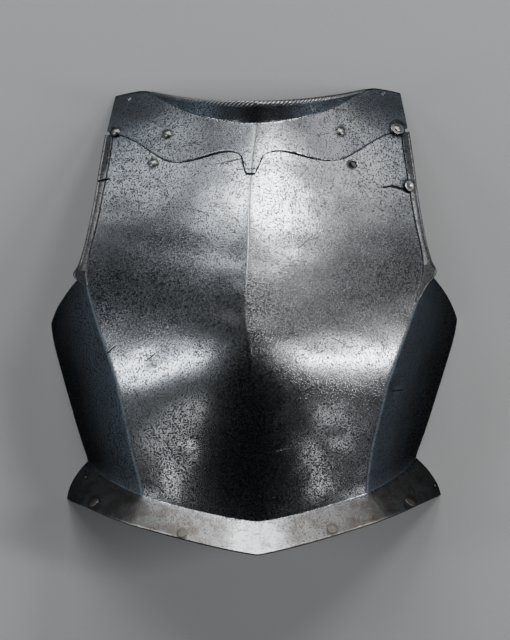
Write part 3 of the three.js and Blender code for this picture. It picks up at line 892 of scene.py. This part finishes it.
# %% [markdown]
# ## The arm gussets
# A narrow strip borders each arm opening. On a working armour it slides a little over its rivet to
# follow the shoulder. It is drawn as a chain of sections along the opening: a flat band with a
# small bead on its outer edge, wider at the corner and drawn out to a point below it.

# %% The strips' outlines
GUSSET_THICKNESS = 1.3
BEAD_RADIUS = 1.2
GUSSET_ROWS = [  # height, inner edge and outer edge, in mm
    (168, 133.4, 140.2),
    (153, 134.8, 142.2),
    (133, 137.4, 144.6),
    (114, 140.2, 146.6),
    (96, 142.8, 149.2),
    (78, 146, 152.3),
    (60, 150, 156),
    (47, 151.9, 160),
    (37.5, 152, 164),
]
GUSSET_TAIL = {-1: [(28, 150.2, 153.6)], 1: [(25, 148.6, 155.6), (11, 145, 147.4)]}


def loft(name, rings):
    """A closed skin through rings of points, with a flat lid at each end."""
    count = rings.shape[1]
    k, i = np.mgrid[0 : rings.shape[0] - 1, 0:count]
    a, b = k * count + i, k * count + (i + 1) % count
    walls = np.stack([a, b, b + count, a + count], axis=-1).reshape(-1, 4).tolist()
    last = (rings.shape[0] - 1) * count
    lids = [list(range(count))[::-1], [last + i for i in range(count)]]
    mesh = bpy.data.meshes.new(name)
    mesh.from_pydata(racked(rings.reshape(-1, 3)).tolist(), [], walls + lids)
    shape = bmesh.new()
    shape.from_mesh(mesh)
    bmesh.ops.recalc_face_normals(shape, faces=shape.faces)
    shape.to_mesh(mesh)
    shape.free()
    mesh.shade_smooth()
    mesh.set_sharp_from_angle(angle=math.radians(40))
    print(name, "has", len(mesh.polygons), "faces")
    return new_object(name, mesh)


def gusset(name, side):
    rows = table("height inner outer", *GUSSET_ROWS, *GUSSET_TAIL[side])
    heights = spaced(rows["height"][-1], rows["height"][0], step=1.2)
    inner = front_at(side * column(rows, "inner", heights), heights)
    across = front_at(side * column(rows, "outer", heights), heights) - inner
    width = np.linalg.norm(across, axis=1)
    across /= width[:, None]
    normal = np.cross(across, np.gradient(inner, axis=0))
    normal /= np.linalg.norm(normal, axis=1, keepdims=True)
    normal = np.where(normal[:, 2:] < 0, -normal, normal)
    bead = np.minimum(BEAD_RADIUS, width / 3)
    flat = np.zeros_like(width)
    top = flat + GUSSET_THICKNESS
    outline = [(flat + 0.35, flat), (width - bead * 1.6, flat)]
    for angle in np.linspace(-math.pi / 2, math.pi * 5 / 6, 11):
        outline.append((width - bead + bead * math.cos(angle), bead + bead * math.sin(angle)))
    outline += [(width - 2.1 * bead, top), (flat + 0.4, top)]
    outline += [(flat + 0.1, top - 0.25), (flat, top * 0.5)]
    rings = [inner + across * out[:, None] + normal * (GAP + up)[:, None] for out, up in outline]
    return loft(name, np.stack(rings, axis=1))


gusset_left = gusset("gusset_left_steel", -1)
gusset_right = gusset("gusset_right_steel", 1)

# %% [markdown]
# ## The rivets
# Twelve rivets hold the plates and once held straps. Each was closed by hand, so no two heads are
# alike: domes, flattened buttons, one hollow cup and one spread washer. They still follow one rule,
# so one tree makes them all. A point for each head, and one for each tail inside, carries its sizes
# as attributes, the tree sets one small rounded disc on every point, and the attributes then
# flatten, hollow and roughen it.

# %% Where the rivets sit
COVER = {"neck": GAP + NECK_THICKNESS, "gusset": GAP + GUSSET_THICKNESS, "breast": 0.0}
SIZES = ["radius", "rise", "stretch", "turn", "flat", "cup", "rough"]
# radius, rise, length over width, turn in degrees, flatness (1 = round dome), cup, roughness
FRONT_RIVETS = {
    "neck_left_outer": ((-130.2, 170.8), "neck", (4.3, 2.9, 1.05, 20, 0.8, 0.0, 0.12)),
    "neck_left_inner": ((-80.9, 165.8), "neck", (3.9, 2.8, 1.1, 120, 0.8, 0.0, 0.14)),
    "neck_right_inner": ((75.2, 166.1), "neck", (4.3, 2.9, 1.05, 60, 0.75, 0.0, 0.12)),
    "neck_right_outer": ((128.8, 170.7), "neck", (4.1, 2.6, 1.05, 0, 0.8, 0.0, 0.14)),
    "chest_left": ((-94.6, 139.5), "breast", (4.4, 3.0, 1.03, 0, 0.75, 0.0, 0.1)),
    "gusset_right": ((139.3, 116.4), "gusset", (5.0, 1.6, 1.12, 70, 0.3, 0.75, 0.12)),
}
FLANGE_RIVETS = {
    "left_end": (-1.79, 0.27, (1.5, 0.8, 1.0, 0, 0.8, 0.0, 0.1)),
    "left_outer": (-1.41, 0.78, (4.3, 1.8, 1.35, 10, 0.5, 0.1, 0.35)),
    "left_inner": (-0.57, 0.85, (4.0, 1.2, 1.05, 40, 0.35, 0.15, 0.15)),
    "right_inner": (0.6, 0.79, (4.3, 1.0, 1.05, 0, 0.3, 0.5, 0.12)),
    "right_outer": (1.36, 0.83, (4.0, 1.1, 1.5, -12, 0.35, 0.2, 0.22)),
    "right_end": (1.92, 0.71, (1.5, 0.8, 1.0, 0, 0.8, 0.0, 0.1)),
}
WASHER = ((128.8, 170.7), "neck", (5.9, 0.7, 1.3, 15, 0.25, 0.0, 0.1))
TAIL = (3.0, 0.9, 1.0, 0, 0.4, 0.0, 0.12)
SMALL_TAIL = (1.3, 0.6, *TAIL[2:])
SMALL_HEAD = 2  # heads below this radius have small tails


def rivet_places():
    """Each head and tail: its point, its outward axis and its sizes."""
    found = []
    for (x, y), through, sizes in [*FRONT_RIVETS.values(), WASHER]:
        point, axis = frame_of(front_at, x, y)
        found.append((point + axis * COVER[through], axis, sizes))
        found.append((point - axis * THICKNESS, -axis, TAIL))
    for along, down, sizes in FLANGE_RIVETS.values():
        point, axis = frame_of(flange_point, along, down)
        found.append((point, axis, sizes))
        tail = SMALL_TAIL if sizes[0] < SMALL_HEAD else TAIL
        found.append((point - axis * THICKNESS, -axis, tail))
    return found


def rivet_points():
    """The places as a mesh of loose points that carry the sizes."""
    places = rivet_places()
    mesh = bpy.data.meshes.new("rivet_places")
    mesh.from_pydata(racked([point for point, _, _ in places]).tolist(), [], [])
    axes = np.array([axis for _, axis, _ in places], dtype=np.float32)
    mesh.attributes.new("axis", "FLOAT_VECTOR", "POINT").data.foreach_set("vector", axes.ravel())
    sizes = np.array([sizes for _, _, sizes in places])
    sizes[:, :2] *= MM
    sizes[:, 3] = np.radians(sizes[:, 3])
    sizes[:, 6] *= MM
    for label, values in zip(SIZES, sizes.T):
        keep_values(mesh, label, values)
    return new_object("rivet_places", mesh)


print("heads and tails:", len(rivet_places()))

# %% The riveting tree
RIVETING_INPUTS = [
    ("Segments", "NodeSocketInt", 28),
    ("Rings", "NodeSocketInt", 16),
    ("Grain", "NodeSocketFloat", 420.0),
    ("Material", "NodeSocketMaterial", None),
]
UNDERSIDE = -0.85  # how far the disc's lower half is pressed flat
CUP_FALL = -3.5  # how fast a hollow cup fades out from its axis


def riveting_tree():
    nodes, given = new_tree("riveting", RIVETING_INPUTS)
    place = nodes.get("GeometryNodeInputPosition")
    sockets = {"Segments": given["Segments"], "Rings": given["Rings"], "Radius": 1.0}
    disc = nodes.get("GeometryNodeMeshUVSphere", sockets)
    pressed = nodes.vector(z=nodes.math("MINIMUM", nodes.parts(place)[2], 0.0) * UNDERSIDE)
    disc = nodes.get("GeometryNodeSetPosition", {"Geometry": disc, "Offset": pressed})
    disc = marked(nodes, disc, "own_place", place, "FLOAT_VECTOR")
    sockets = {"Axis": (0, 0, 1), "Angle": named(nodes, "turn")}
    turn = nodes.get("FunctionNodeAxisAngleToRotation", sockets)
    axis = named(nodes, "axis", "FLOAT_VECTOR")
    sockets = {"Rotation": turn, "Vector": axis}
    rotation = nodes.get("FunctionNodeAlignRotationToVector", sockets, axis="Z")
    radius, rise = named(nodes, "radius"), named(nodes, "rise")
    size = nodes.vector(radius * named(nodes, "stretch"), radius, rise)
    sockets = {"Points": given["Geometry"], "Instance": disc, "Rotation": rotation, "Scale": size}
    heads = nodes.get("GeometryNodeInstanceOnPoints", sockets)
    real = nodes.get("GeometryNodeRealizeInstances", {"Geometry": heads})
    x, y, z = nodes.parts(named(nodes, "own_place", "FLOAT_VECTOR"))
    up = nodes.math("MAXIMUM", z, 0.0)
    hollow = nodes.math("EXPONENT", (x**2 + y**2) * CUP_FALL) * named(nodes, "cup")
    hollow = hollow * nodes.math("MINIMUM", up * 4, 1.0)
    lift = (up ** named(nodes, "flat") - up - hollow) * rise
    sockets = {"Scale": given["Grain"], "Detail": 3.0, "Roughness": 0.6}
    noise = nodes.get("ShaderNodeTexNoise", sockets, "Fac") - 0.5
    worn = noise * named(nodes, "rough") * 2 * nodes.math("MINIMUM", up * 3, 1.0)
    sockets = {"Geometry": real, "Offset": nodes.scaled(axis, lift + worn)}
    moved = nodes.get("GeometryNodeSetPosition", sockets)
    return finish_tree(nodes, moved, given["Material"])


rivets = made_by(riveting_tree(), rivet_points(), "rivet_heads", material=worn_steel)
reach = [max(v.co[axis] for v in rivets.data.vertices) / MM for axis in range(3)]
print("rivets reach", [round(value, 1) for value in reach])

# %% [markdown]
# ## Holes
# Two small holes in the shoulders once took straps, and one rivet of the chest has fallen out. They
# go through the metal, so they are cut with a Boolean and not painted on. The cracks at the arm
# openings are too narrow to show any light, so they are left to the finish, which paints them as
# dark lines of shade.

# %% Cut the holes
NECK_HOLES = [(-118.8, 202.6, 2.4), (115.8, 204.6, 1.9)]  # across, along and radius, in mm
CHEST_HOLE = (88.7, 137, 3)


def drill_bit(point, axis, radius, sides=20, reach=9):
    """A slightly uneven round bar through a plate, in mm."""
    turn = Vector(axis).to_track_quat("Z", "Y").to_matrix()
    rings = []
    for height in (-reach, reach):
        ring = []
        for k in range(sides):
            angle = 2 * math.pi * k / sides
            worn = radius * (1 + 0.05 * math.sin(2 * angle + 1) + 0.04 * math.sin(3 * angle))
            corner = Vector((worn * math.cos(angle), worn * math.sin(angle), height))
            ring.append(np.array(turn @ corner) + point)
        rings.append(ring)
    return np.array(rings)


def drill(piece, x, y, radius):
    """Cuts one hole through a piece, square to the plate."""
    point, axis = frame_of(front_at, x, y)
    tool = loft("cutter", drill_bit(point, axis, radius))
    modifier = piece.modifiers.new("cut", "BOOLEAN")
    modifier.operation = "DIFFERENCE"
    modifier.solver = "EXACT"
    modifier.object = tool
    evaluated = piece.evaluated_get(bpy.context.evaluated_depsgraph_get())
    mesh = bpy.data.meshes.new_from_object(evaluated)
    piece.modifiers.clear()
    old, name = piece.data, piece.data.name
    piece.data = mesh
    bpy.data.meshes.remove(old)
    mesh.name = name
    bpy.data.objects.remove(tool)
    print(name, "has", len(mesh.polygons), "faces")


for hole in NECK_HOLES:
    drill(neck_plate, *hole)
drill(breast_plate, *CHEST_HOLE)

# %% [markdown]
# ## Old polished steel
# The plate was once mirror-bright. Since then rust has eaten small pits into it all over, and it
# has been scoured bright again, so that the pits stay dark while the skin between them shines. The
# pits are deepest where damp lay longest, which a slow noise decides, and the ridge and creases are
# rubbed brightest. Every pattern is a noise in the object's own coordinates, in metres, so it stays
# where it is on the metal, and all pieces cut through the same rust.

# %% Shader helpers
SPOT_VARIETY = 0.26  # how much the radius differs from spot to spot, in cells
SPOT_SOFT = {"outside": 0.07, "inside": 0.05}


def colour(red, green, blue):
    return (red, green, blue, 1.0)


class Finish(Nodes):
    """A material's nodes: patterns in the piece's own coordinates, and one metal shader."""

    def __init__(self, material):
        material.use_nodes = True
        material.node_tree.nodes.clear()
        super().__init__(material.node_tree)
        self.material = material
        self.place = self.get("ShaderNodeTexCoord", output="Object")

    def noise(self, scale, detail=2.0, roughness=0.5, place=None):
        sockets = {"Vector": place or self.place, "Scale": scale, "Detail": detail}
        return self.get("ShaderNodeTexNoise", {**sockets, "Roughness": roughness}, "Fac")

    def strokes(self, turn, size):
        """Fine lines, turned about +Z by degrees; size is their number to a metre on each axis."""
        sockets = {"Vector": self.place, "Rotation": (0, 0, math.radians(turn)), "Scale": size}
        return self.noise(1.0, 3, place=self.get("ShaderNodeMapping", sockets, vector_type="POINT"))

    def spots(self, scale, radius, spread):
        """1 inside round spots of varied size, one to a cell, and 0 between them."""
        cell = self.add("ShaderNodeTexVoronoi", {"Vector": self.place, "Scale": scale}).outputs
        edge = Output(self, cell["Color"]) * SPOT_VARIETY + spread + (radius - SPOT_VARIETY / 2)
        distance = Output(self, cell["Distance"])
        return self.step(distance, edge + SPOT_SOFT["outside"], edge - SPOT_SOFT["inside"])

    def mark(self, label):
        return self.get("ShaderNodeAttribute", output="Fac", attribute_name=label)

    def greatest(self, values):
        total, *rest = values
        for value in rest:
            total = self.math("MAXIMUM", total, value)
        return total

    def mixed(self, factor, start, end):
        """A mix of two colours."""
        node = self.add("ShaderNodeMix", data_type="RGBA")
        colours = [socket for socket in node.inputs if socket.type == "RGBA"]
        share = next(socket for socket in node.inputs if socket.identifier == "Factor_Float")
        for socket, value in zip([share, *colours], [factor, start, end]):
            self.feed(socket, value)
        return Output(self, next(socket for socket in node.outputs if socket.type == "RGBA"))

    def metal(self, tint, roughness, metallic, height, depth):
        bump = self.get("ShaderNodeBump", {"Height": height, "Distance": depth, "Strength": 1.0})
        sockets = {"Base Color": tint, "Roughness": roughness, "Metallic": metallic}
        shader = self.get("ShaderNodeBsdfPrincipled", {**sockets, "Normal": bump})
        self.add("ShaderNodeOutputMaterial", {"Surface": shader})
        return self.material


print("finish helpers:", [name for name in vars(Finish) if not name.startswith("_")])

# %% [markdown]
# Scratches are the other marks of age: single strokes of a tool or a buckle. The cracks at the two
# arm openings, painted as dark lines of shade, the painted shadow in the seam along the neck plate's
# tongue and the dark ring of painted shade round the hole of the lost rivet are drawn in the same
# way.
# Each is a thin line between two places, worked out as the distance to a segment, so it costs a few
# nodes and stays sharp at any distance. Around each rivet that is still there lies a dark ring: rust
# where damp has stood, and painted shade where the head sits on the plate.

# %% Scratches, lines of painted shade, and rings of rust and painted shade
SCRATCHES_AND_SHADE_LINES = [  # from, to (across, along, in mm), width in mm
    ((-132.0, -34.0), (-124.5, -27.5), 0.9),
    ((-95.8, -40.5), (-88.0, -34.0), 0.9),
    ((-35.0, 136.0), (-10.5, 140.5), 0.6),
    ((-15.0, 130.7), (6.5, 131.0), 0.7),
    ((124.0, -68.0), (134.5, -67.2), 0.9),
    # the cracks at the arm openings: their dark is painted shade
    ((-148.0, 122.6), (-132.8, 125.6), 1.5),
    ((118.0, 117.0), (126.0, 118.5), 1.6),
    ((126.0, 118.5), (139.0, 115.5), 2.6),
    # a ring of painted shade round the lost rivet's hole, so that the hole reads dark
    ((88.6, 137.0), (88.8, 137.0), 7.6),
    # painted shadow along the seam where the neck plate's tongue lies over the breast plate
    ((-11.6, 142.3), (-8.2, 128.0), 1.0),
    ((7.6, 142.3), (1.4, 128.0), 1.0),
    ((40.0, 60.0), (52.0, 71.0), 0.45),
    ((-60.0, 96.0), (-41.0, 91.0), 0.45),
    ((70.0, -20.0), (86.0, -29.0), 0.45),
    ((-44.0, -96.0), (-30.0, -84.0), 0.45),
    ((20.0, -120.0), (41.0, -114.0), 0.45),
]
# a ring is rust and painted shade, darkest at the head's edge
RING = {"inner": 0.2 * MM, "outer": 2.2 * MM}  # where a rust ring fades out, from the head's edge


def drawn_line(finish, start, end, width):
    """1 on a stroke from start to end, 0 away from it."""
    (x0, y0), (x1, y1) = start, end
    length = math.hypot(x1 - x0, y1 - y0) * MM
    direction = ((x1 - x0) * MM / length, (y1 - y0) * MM / length, 0)
    square_to_it = (-direction[1], direction[0], 0)
    from_start = finish.vector_math("SUBTRACT", finish.place, (x0 * MM, y0 * MM, 0))
    run = finish.vector_math("DOT_PRODUCT", from_start, direction, output="Value")
    off = finish.vector_math("DOT_PRODUCT", from_start, square_to_it, output="Value")
    beyond = finish.greatest([-run, run - length, 0.0])
    distance = finish.math("SQRT", off * off + beyond * beyond)
    return finish.step(distance, width * MM * 0.75, width * MM * 0.25)


def scratches_and_shade_lines(finish):
    return finish.greatest([drawn_line(finish, *stroke) for stroke in SCRATCHES_AND_SHADE_LINES])


# each outward head gets a ring of rust and painted shade on the plate around it
held = [(point, sizes[0] * sizes[2] * MM) for point, axis, sizes in rivet_places() if axis[2] > 0]
RUST_AND_SHADE_RINGS = [(racked(point), radius) for point, radius in held]


def rust_and_shade_rings(finish):
    """1 close around each rivet's head, fading out over the plate: rust where damp has stood, and
    painted shade where the head sits on the plate.
    """
    flat = finish.vector_math("MULTIPLY", finish.place, (1, 1, 0))
    rings = []
    for (x, y, _), radius in RUST_AND_SHADE_RINGS:
        distance = finish.vector_math("DISTANCE", flat, (x, y, 0), output="Value")
        rings.append(finish.step(distance, radius + RING["outer"], radius + RING["inner"]))
    return finish.greatest(rings)


print("scratches:", len(SCRATCHES_AND_SHADE_LINES), "rust rings:", len(RUST_AND_SHADE_RINGS))

# %% [markdown]
# Hands, cloths and weather don't reach every part alike. The ridge and the creases stand proud and
# are rubbed bright, and sweat and rain run down to the waist, where the rivets have gone dull.

# %% Where the plate is rubbed or dull
APEX = -0.022  # where the ridge stands highest, along the plate in metres


def rubbed_ridge(finish):
    return finish.mark("ridge")


def rubbed_lines(finish):
    """Where hands and cloths have rubbed the plate bright: its ridge and its side creases."""
    along = finish.parts(finish.place)[1]
    ridge = finish.mark("ridge") * finish.step(along, APEX - 0.012, APEX + 0.006)
    return finish.math("MINIMUM", ridge + finish.mark("crease"), 1.0)


def at_the_waist(finish):
    """1 in the flange at the waist, 0 over the chest."""
    return finish.step(finish.parts(finish.place)[1], -0.11, -0.13)


print("rubbed from", APEX / MM - 12, "mm up")

# %% [markdown]
# A finish is laid on in the order in which it came about. First the bright metal, scoured, stained
# and eaten by pits. Then come the layers that mark or cover it: each hides some of the colour and
# dulls it a little, so one small class keeps what the metal looks like so far.

# %% Bright metal with its pits
NOISES = {  # how many to a metre, detail, roughness
    "damp": (17, 3.5, 0.6),
    "blotch": (150, 3, 0.6),
    "stain": (38, 4, 0.62),
    "patch": (70, 4, 0.65),
    "rust": (60, 5, 0.65),
    "grain": (900, 2, 0.5),
}
PITS = [(460, 0.3, 0.9), (900, 0.38, 0.75)]  # how many to a metre, radius in cells, darkness
PIT_SPREAD = {"damp": 0.22, "blotch": 0.24, "wear": -0.12}  # what makes the pits wider
SCOURING = [(8, (2600, 90, 900), 1.0), (-52, (2300, 110, 900), 0.7)]  # turn, size, strength
DULLING = {"blotch": 0.08, "scouring": 0.05, "pits": 0.17, "wear": 0.06}
RELIEF = {"scouring": 0.05, "pits": -0.2, "grain": 0.08, "cuts": -2.5}
RELIEF_DEPTH = 0.16 * MM
ROUGHEST = 0.95
BLOTCH = colour(0.36, 0.34, 0.32)


class Coat:
    """A steel finish in the making: what its metal looks like so far."""

    def __init__(self, name, bright, pit_colour, polish, pitted, rubbed):
        self.finish = finish = Finish(bpy.data.materials.get(name) or bpy.data.materials.new(name))
        wear = rubbed(finish) if rubbed else 0.0
        damp = finish.noise(*NOISES["damp"]) - 0.5
        self.blotch = finish.noise(*NOISES["blotch"])
        uneven = self.blotch - 0.5
        spread = damp * PIT_SPREAD["damp"] * pitted + uneven * PIT_SPREAD["blotch"]
        spread = spread + wear * PIT_SPREAD["wear"]
        pits = sum(finish.spots(scale, radius, spread) * dark for scale, radius, dark in PITS)
        pits = finish.math("MINIMUM", pits, 1.0)
        lines = sum((finish.strokes(turn, size) - 0.5) * much for turn, size, much in SCOURING)
        dimmed = colour(*(value * 0.72 for value in bright[:3]))
        stain = finish.step(finish.noise(*NOISES["stain"]), 0.42, 0.72)
        skin = finish.mixed(stain * 0.55, bright, dimmed)
        skin = finish.mixed(finish.step(self.blotch, 0.5, 0.75) * 0.4, skin, BLOTCH)
        self.tint = finish.mixed(pits * 0.92, skin, pit_colour)
        self.rough = polish + uneven * DULLING["blotch"] + lines * DULLING["scouring"]
        self.rough = self.rough + pits * DULLING["pits"] + wear * DULLING["wear"]
        self.height = lines * RELIEF["scouring"] + pits * RELIEF["pits"]
        self.height = self.height + finish.noise(*NOISES["grain"]) * RELIEF["grain"]
        self.metallic = 1 - pits * 0.1

    def cover(self, where, tint, share, dull=0.0):
        """Covers a share of the metal with a colour, and dulls it, where a pattern says so."""
        self.tint = self.finish.mixed(where * share, self.tint, tint)
        self.rough = self.rough + where * dull


print("pits to a metre:", [pit[0] for pit in PITS])

# %% The layers over it
# dark rust, and the painted shade in the ring round each rivet head
RUST_AND_RING_SHADE = colour(0.05, 0.045, 0.042)
# near-black for the scratches, and for painted shade in the cracks, in the seam under the neck
# plate's tongue and round the lost rivet's hole
CUT_AND_SHADE = colour(0.012, 0.012, 0.014)
TARNISH = colour(0.17, 0.15, 0.13)
FLANGE_RUST = colour(0.18, 0.158, 0.135)
# near-black laid into the grooves between the roping's strands
GROOVE_DARK = colour(0.02, 0.02, 0.023)
LINING = [RUST_AND_RING_SHADE, colour(0.15, 0.12, 0.1)]


def scored(coat):
    """Rings of rust and painted shade around the rivets, scratched lines, and lines of painted
    shade.
    """
    # painted shade where each head sits on the plate, together with rust
    rings = rust_and_shade_rings(coat.finish) * coat.finish.step(coat.blotch, 0.2, 0.6)
    coat.cover(rings, RUST_AND_RING_SHADE, 0.8)
    # scratches, and the lines of painted shade at the cracks, the seam and the lost rivet's hole
    cuts = scratches_and_shade_lines(coat.finish)
    coat.cover(cuts, CUT_AND_SHADE, 0.95, dull=0.3)
    coat.height = coat.height + cuts * RELIEF["cuts"]


def tarnished(coat):
    """Dull metal at the waist."""
    coat.cover(at_the_waist(coat.finish), TARNISH, 0.8, dull=0.15)


def grooved(coat):
    """Darker colour in the grooves between the strands of the roping."""
    darker_in_grooves = coat.finish.step(coat.finish.mark("groove"), 0.3, 0.75)
    coat.cover(darker_in_grooves, GROOVE_DARK, 0.95, dull=0.3)


def lined(coat):
    """Brown rust on the flange, and the unpolished inside."""
    finish = coat.finish
    patches = finish.step(finish.noise(*NOISES["patch"]), 0.4, 0.62)
    coat.cover(finish.mark("flange"), FLANGE_RUST, patches * 0.35 + 0.52, dull=0.1)
    inside = finish.mark("inside")
    coat.cover(inside, finish.mixed(finish.noise(*NOISES["rust"]), *LINING), 1.0, dull=0.35)
    coat.metallic = coat.metallic - inside * 0.5


def steel(name, bright, pit_colour, polish, layers, pitted=1.0, rubbed=None, relief=1.0):
    """A steel material: its bright metal, and the layers over it in the order given."""
    coat = Coat(name, bright, pit_colour, polish, pitted, rubbed)
    for layer in layers:
        layer(coat)
    rough = coat.finish.math("MINIMUM", coat.rough, ROUGHEST)
    return coat.finish.metal(coat.tint, rough, coat.metallic, coat.height, RELIEF_DEPTH * relief)


print("layers:", [layer.__name__ for layer in (scored, tarnished, grooved, lined)])

# %% The five finishes
breast_steel = steel(
    "pitted_breast_steel",
    colour(0.74, 0.76, 0.79),
    colour(0.055, 0.06, 0.068),
    polish=0.2,
    layers=[scored, lined],
    rubbed=rubbed_lines,
)
neck_steel = steel(
    "pitted_neck_steel",
    colour(0.5, 0.52, 0.55),
    colour(0.065, 0.068, 0.076),
    polish=0.21,
    layers=[scored, lined],
    rubbed=rubbed_ridge,
)
gusset_steel = steel(
    "dull_gusset_steel",
    colour(0.2, 0.205, 0.21),
    colour(0.035, 0.036, 0.04),
    polish=0.36,
    layers=[scored],
    pitted=1.2,
)
roping_steel = steel(
    "bright_roping_steel",
    colour(0.78, 0.79, 0.81),
    colour(0.4, 0.4, 0.41),
    polish=0.3,
    layers=[grooved],
    pitted=0.2,
)
rivet_steel = steel(
    worn_steel.name,
    colour(0.68, 0.68, 0.67),
    colour(0.4, 0.39, 0.38),
    polish=0.3,
    layers=[tarnished],
    pitted=0.2,
    relief=0.1,
)
print("finishes:", [material.name for material in bpy.data.materials])

# %% [markdown]
# ## Piece by piece onto the frame
# Each piece rides on the one rigid body and stands for its CAD node.

# %% Dress the frame
RIVET_NODES = [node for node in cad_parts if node.startswith("rivet_")]
DRESSING = [
    (breast_plate, breast_steel, "breast_steel", ["breast_plate"]),
    (neck_plate, neck_steel, "neck_steel", ["neck_plate"]),
    (neck_roping, roping_steel, "neck_steel", []),
    (gusset_left, gusset_steel, "gusset_steel", ["gusset_left"]),
    (gusset_right, gusset_steel, "gusset_steel", ["gusset_right"]),
    (rivets, rivet_steel, "rivet_steel", RIVET_NODES),
]
for piece, finish, slot, nodes in DRESSING:
    piece.data.materials.clear()
    piece.data.materials.append(finish)
    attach(piece, "root")
    if nodes:
        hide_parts(*nodes)
print("dressed:", [piece.name for piece, *_ in DRESSING])

# %% [markdown]
# ## Floor and room
# The plate lies on a plain pale floor. Polished steel shows its surroundings more than itself, so
# the floor stays out of the reflections, as if dark cards stood along the plate. The room is dark
# as well, which gives the ridge its contrast. Only its walls to the left and right glow a little,
# because that is all that the steep side panels and the inside can mirror.

# %% The floor
FLOOR = 6.0  # metres from its middle to each side


def pale_floor():
    corners = [(-FLOOR, -FLOOR, 0), (FLOOR, -FLOOR, 0), (FLOOR, FLOOR, 0), (-FLOOR, FLOOR, 0)]
    mesh = bpy.data.meshes.new("floor")
    mesh.from_pydata(corners, [], [(0, 1, 2, 3)])
    finish = Finish(bpy.data.materials.new("pale_floor"))
    tone = finish.noise(3, detail=4)
    paint = finish.mixed(tone, colour(0.7, 0.71, 0.72), colour(0.75, 0.755, 0.76))
    mesh.materials.append(finish.metal(paint, 0.85, 0.0, finish.noise(400), 0.1 * MM))
    floor = new_object("floor", mesh)
    floor.visible_glossy = False
    return floor


pale_floor()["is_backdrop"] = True
print("floor, m:", 2 * FLOOR)

# %% The room
WALL_GLOW = {"below": 0.05, "level": 0.16, "everywhere": 0.002}
WALL_TINT = (0.78, 0.98, 1.2)

world = bpy.data.worlds.new("dim_room")
bpy.context.scene.world = world
world.use_nodes = True
room = Nodes(world.node_tree)
x, _, height = room.parts(room.get("ShaderNodeTexCoord", output="Generated"))
to_a_side = room.step(abs(x), 0.58, 0.8)
below = room.step(height, -0.8, -0.35) * (1 - room.step(height, -0.1, 0.15))
level = room.step(height, -0.32, -0.16) * (1 - room.step(height, 0.02, 0.16))
glow = to_a_side * (below * WALL_GLOW["below"] + level * WALL_GLOW["level"])
backdrop = room.scaled(room.vector(*WALL_TINT), glow + WALL_GLOW["everywhere"])
room.feed(world.node_tree.nodes["Background"].inputs["Color"], backdrop)
print("room made:", world.name)

# %% [markdown]
# ## Lights
# The lights are soft panels, placed by where the plate mirrors them: half-way between a panel and
# the camera lies the slope of metal that shows it. A row of panels beyond the neck draws the band
# across the belly and lights the waist flange, with dim ones at the far corners that let the band
# fade out. Two long panels at the sides light the chest's flanks, two dim ones stand beyond the
# feet, and two small ones there brighten the corners above the waist. The panels don't show
# themselves to the camera.

# %% Lights
AIM = Vector((0, 0, 0.09))  # the middle of the plate
PANEL_DISTANCE = 3.0


def panel(name, from_zenith, azimuth, size, brightness, tint=(1, 1, 1), roll=0):
    """A soft panel, placed by its direction in degrees and its size in metres, facing the plate."""
    zenith, turn = math.radians(from_zenith), math.radians(azimuth)
    x, y = math.sin(zenith) * math.cos(turn), math.sin(zenith) * math.sin(turn)
    direction = Vector((x, y, math.cos(zenith)))
    data = bpy.data.lights.new(name, "AREA")
    data.shape = "RECTANGLE"
    data.size, data.size_y = size
    data.energy = brightness * math.pi * size[0] * size[1]
    data.color = tint
    light = new_object(name, data)
    light.location = AIM + direction * PANEL_DISTANCE
    rolled = Matrix.Rotation(math.radians(roll), 3, direction)
    across = rolled @ Vector((-math.sin(turn), math.cos(turn), 0))
    up = direction.cross(across)
    light.rotation_euler = Matrix([across, up, direction]).transposed().to_euler()
    light.visible_camera = False
    return light


PANELS = [
    panel("neck_right", 57, 55, (0.8, 0.5), 13.0),
    panel("far_right", 70, 45, (0.35, 0.4), 0.5),
    panel("neck_left", 58, 117, (0.85, 0.5), 7.0, (0.94, 0.97, 1)),
    panel("far_left", 62, 131, (0.5, 0.6), 1.8, (0.94, 0.97, 1)),
    panel("neck_middle", 58, 93, (1.2, 0.3), 4.5),
    panel("over_ridge", 45, 91, (0.4, 1.0), 6.0),
    panel("flange_light", 67, 92, (0.24, 0.3), 14.0),
    panel("corner_right", 80, 47, (0.7, 0.8), 1.0),
    panel("corner_left", 81, 134, (0.7, 0.8), 0.9, (0.92, 0.96, 1)),
    panel("right_side", 55, 1, (0.26, 1.5), 18.0, roll=-30),
    panel("left_side", 58, 184, (0.4, 1.4), 6.5, (0.92, 0.96, 1), roll=32),
    panel("right_foot", 64, 325, (0.45, 0.55), 0.75),
    panel("left_foot", 62, 218, (0.6, 0.9), 0.55),
    panel("left_waist", 68, 229, (0.2, 0.2), 3.2),
    panel("right_waist", 67, 309, (0.2, 0.2), 3.6),
]
print("lights:", [light.name for light in PANELS])

# %% [markdown]
# ## Camera
# The camera hangs over the middle of the plate and looks straight down. It is far off and its angle
# is narrow, so the raised chest is hardly larger than the flange that lies nearer the floor.

# %% Camera
CAMERA_PLACE = (0.0007, -0.004, 2.4)
VISIBLE_HEIGHT = 0.6003  # metres of floor from the frame's top to its bottom

camera_data = bpy.data.cameras.new("camera")
camera_data.sensor_fit = "VERTICAL"
camera_data.angle = 2 * math.atan(VISIBLE_HEIGHT / 2 / CAMERA_PLACE[2])
camera = new_object("camera", camera_data)
camera.location = CAMERA_PLACE
bpy.context.scene.camera = camera
print("camera angle, degrees:", round(math.degrees(camera_data.angle), 2))

# Both boxes are printed.

# %% Print both boxes
dressed_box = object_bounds()
boxes = {"cad": cad_box, "dressed": dressed_box}
boxes = {name: [[float(value) for value in corner] for corner in box] for name, box in boxes.items()}
print(boxes)
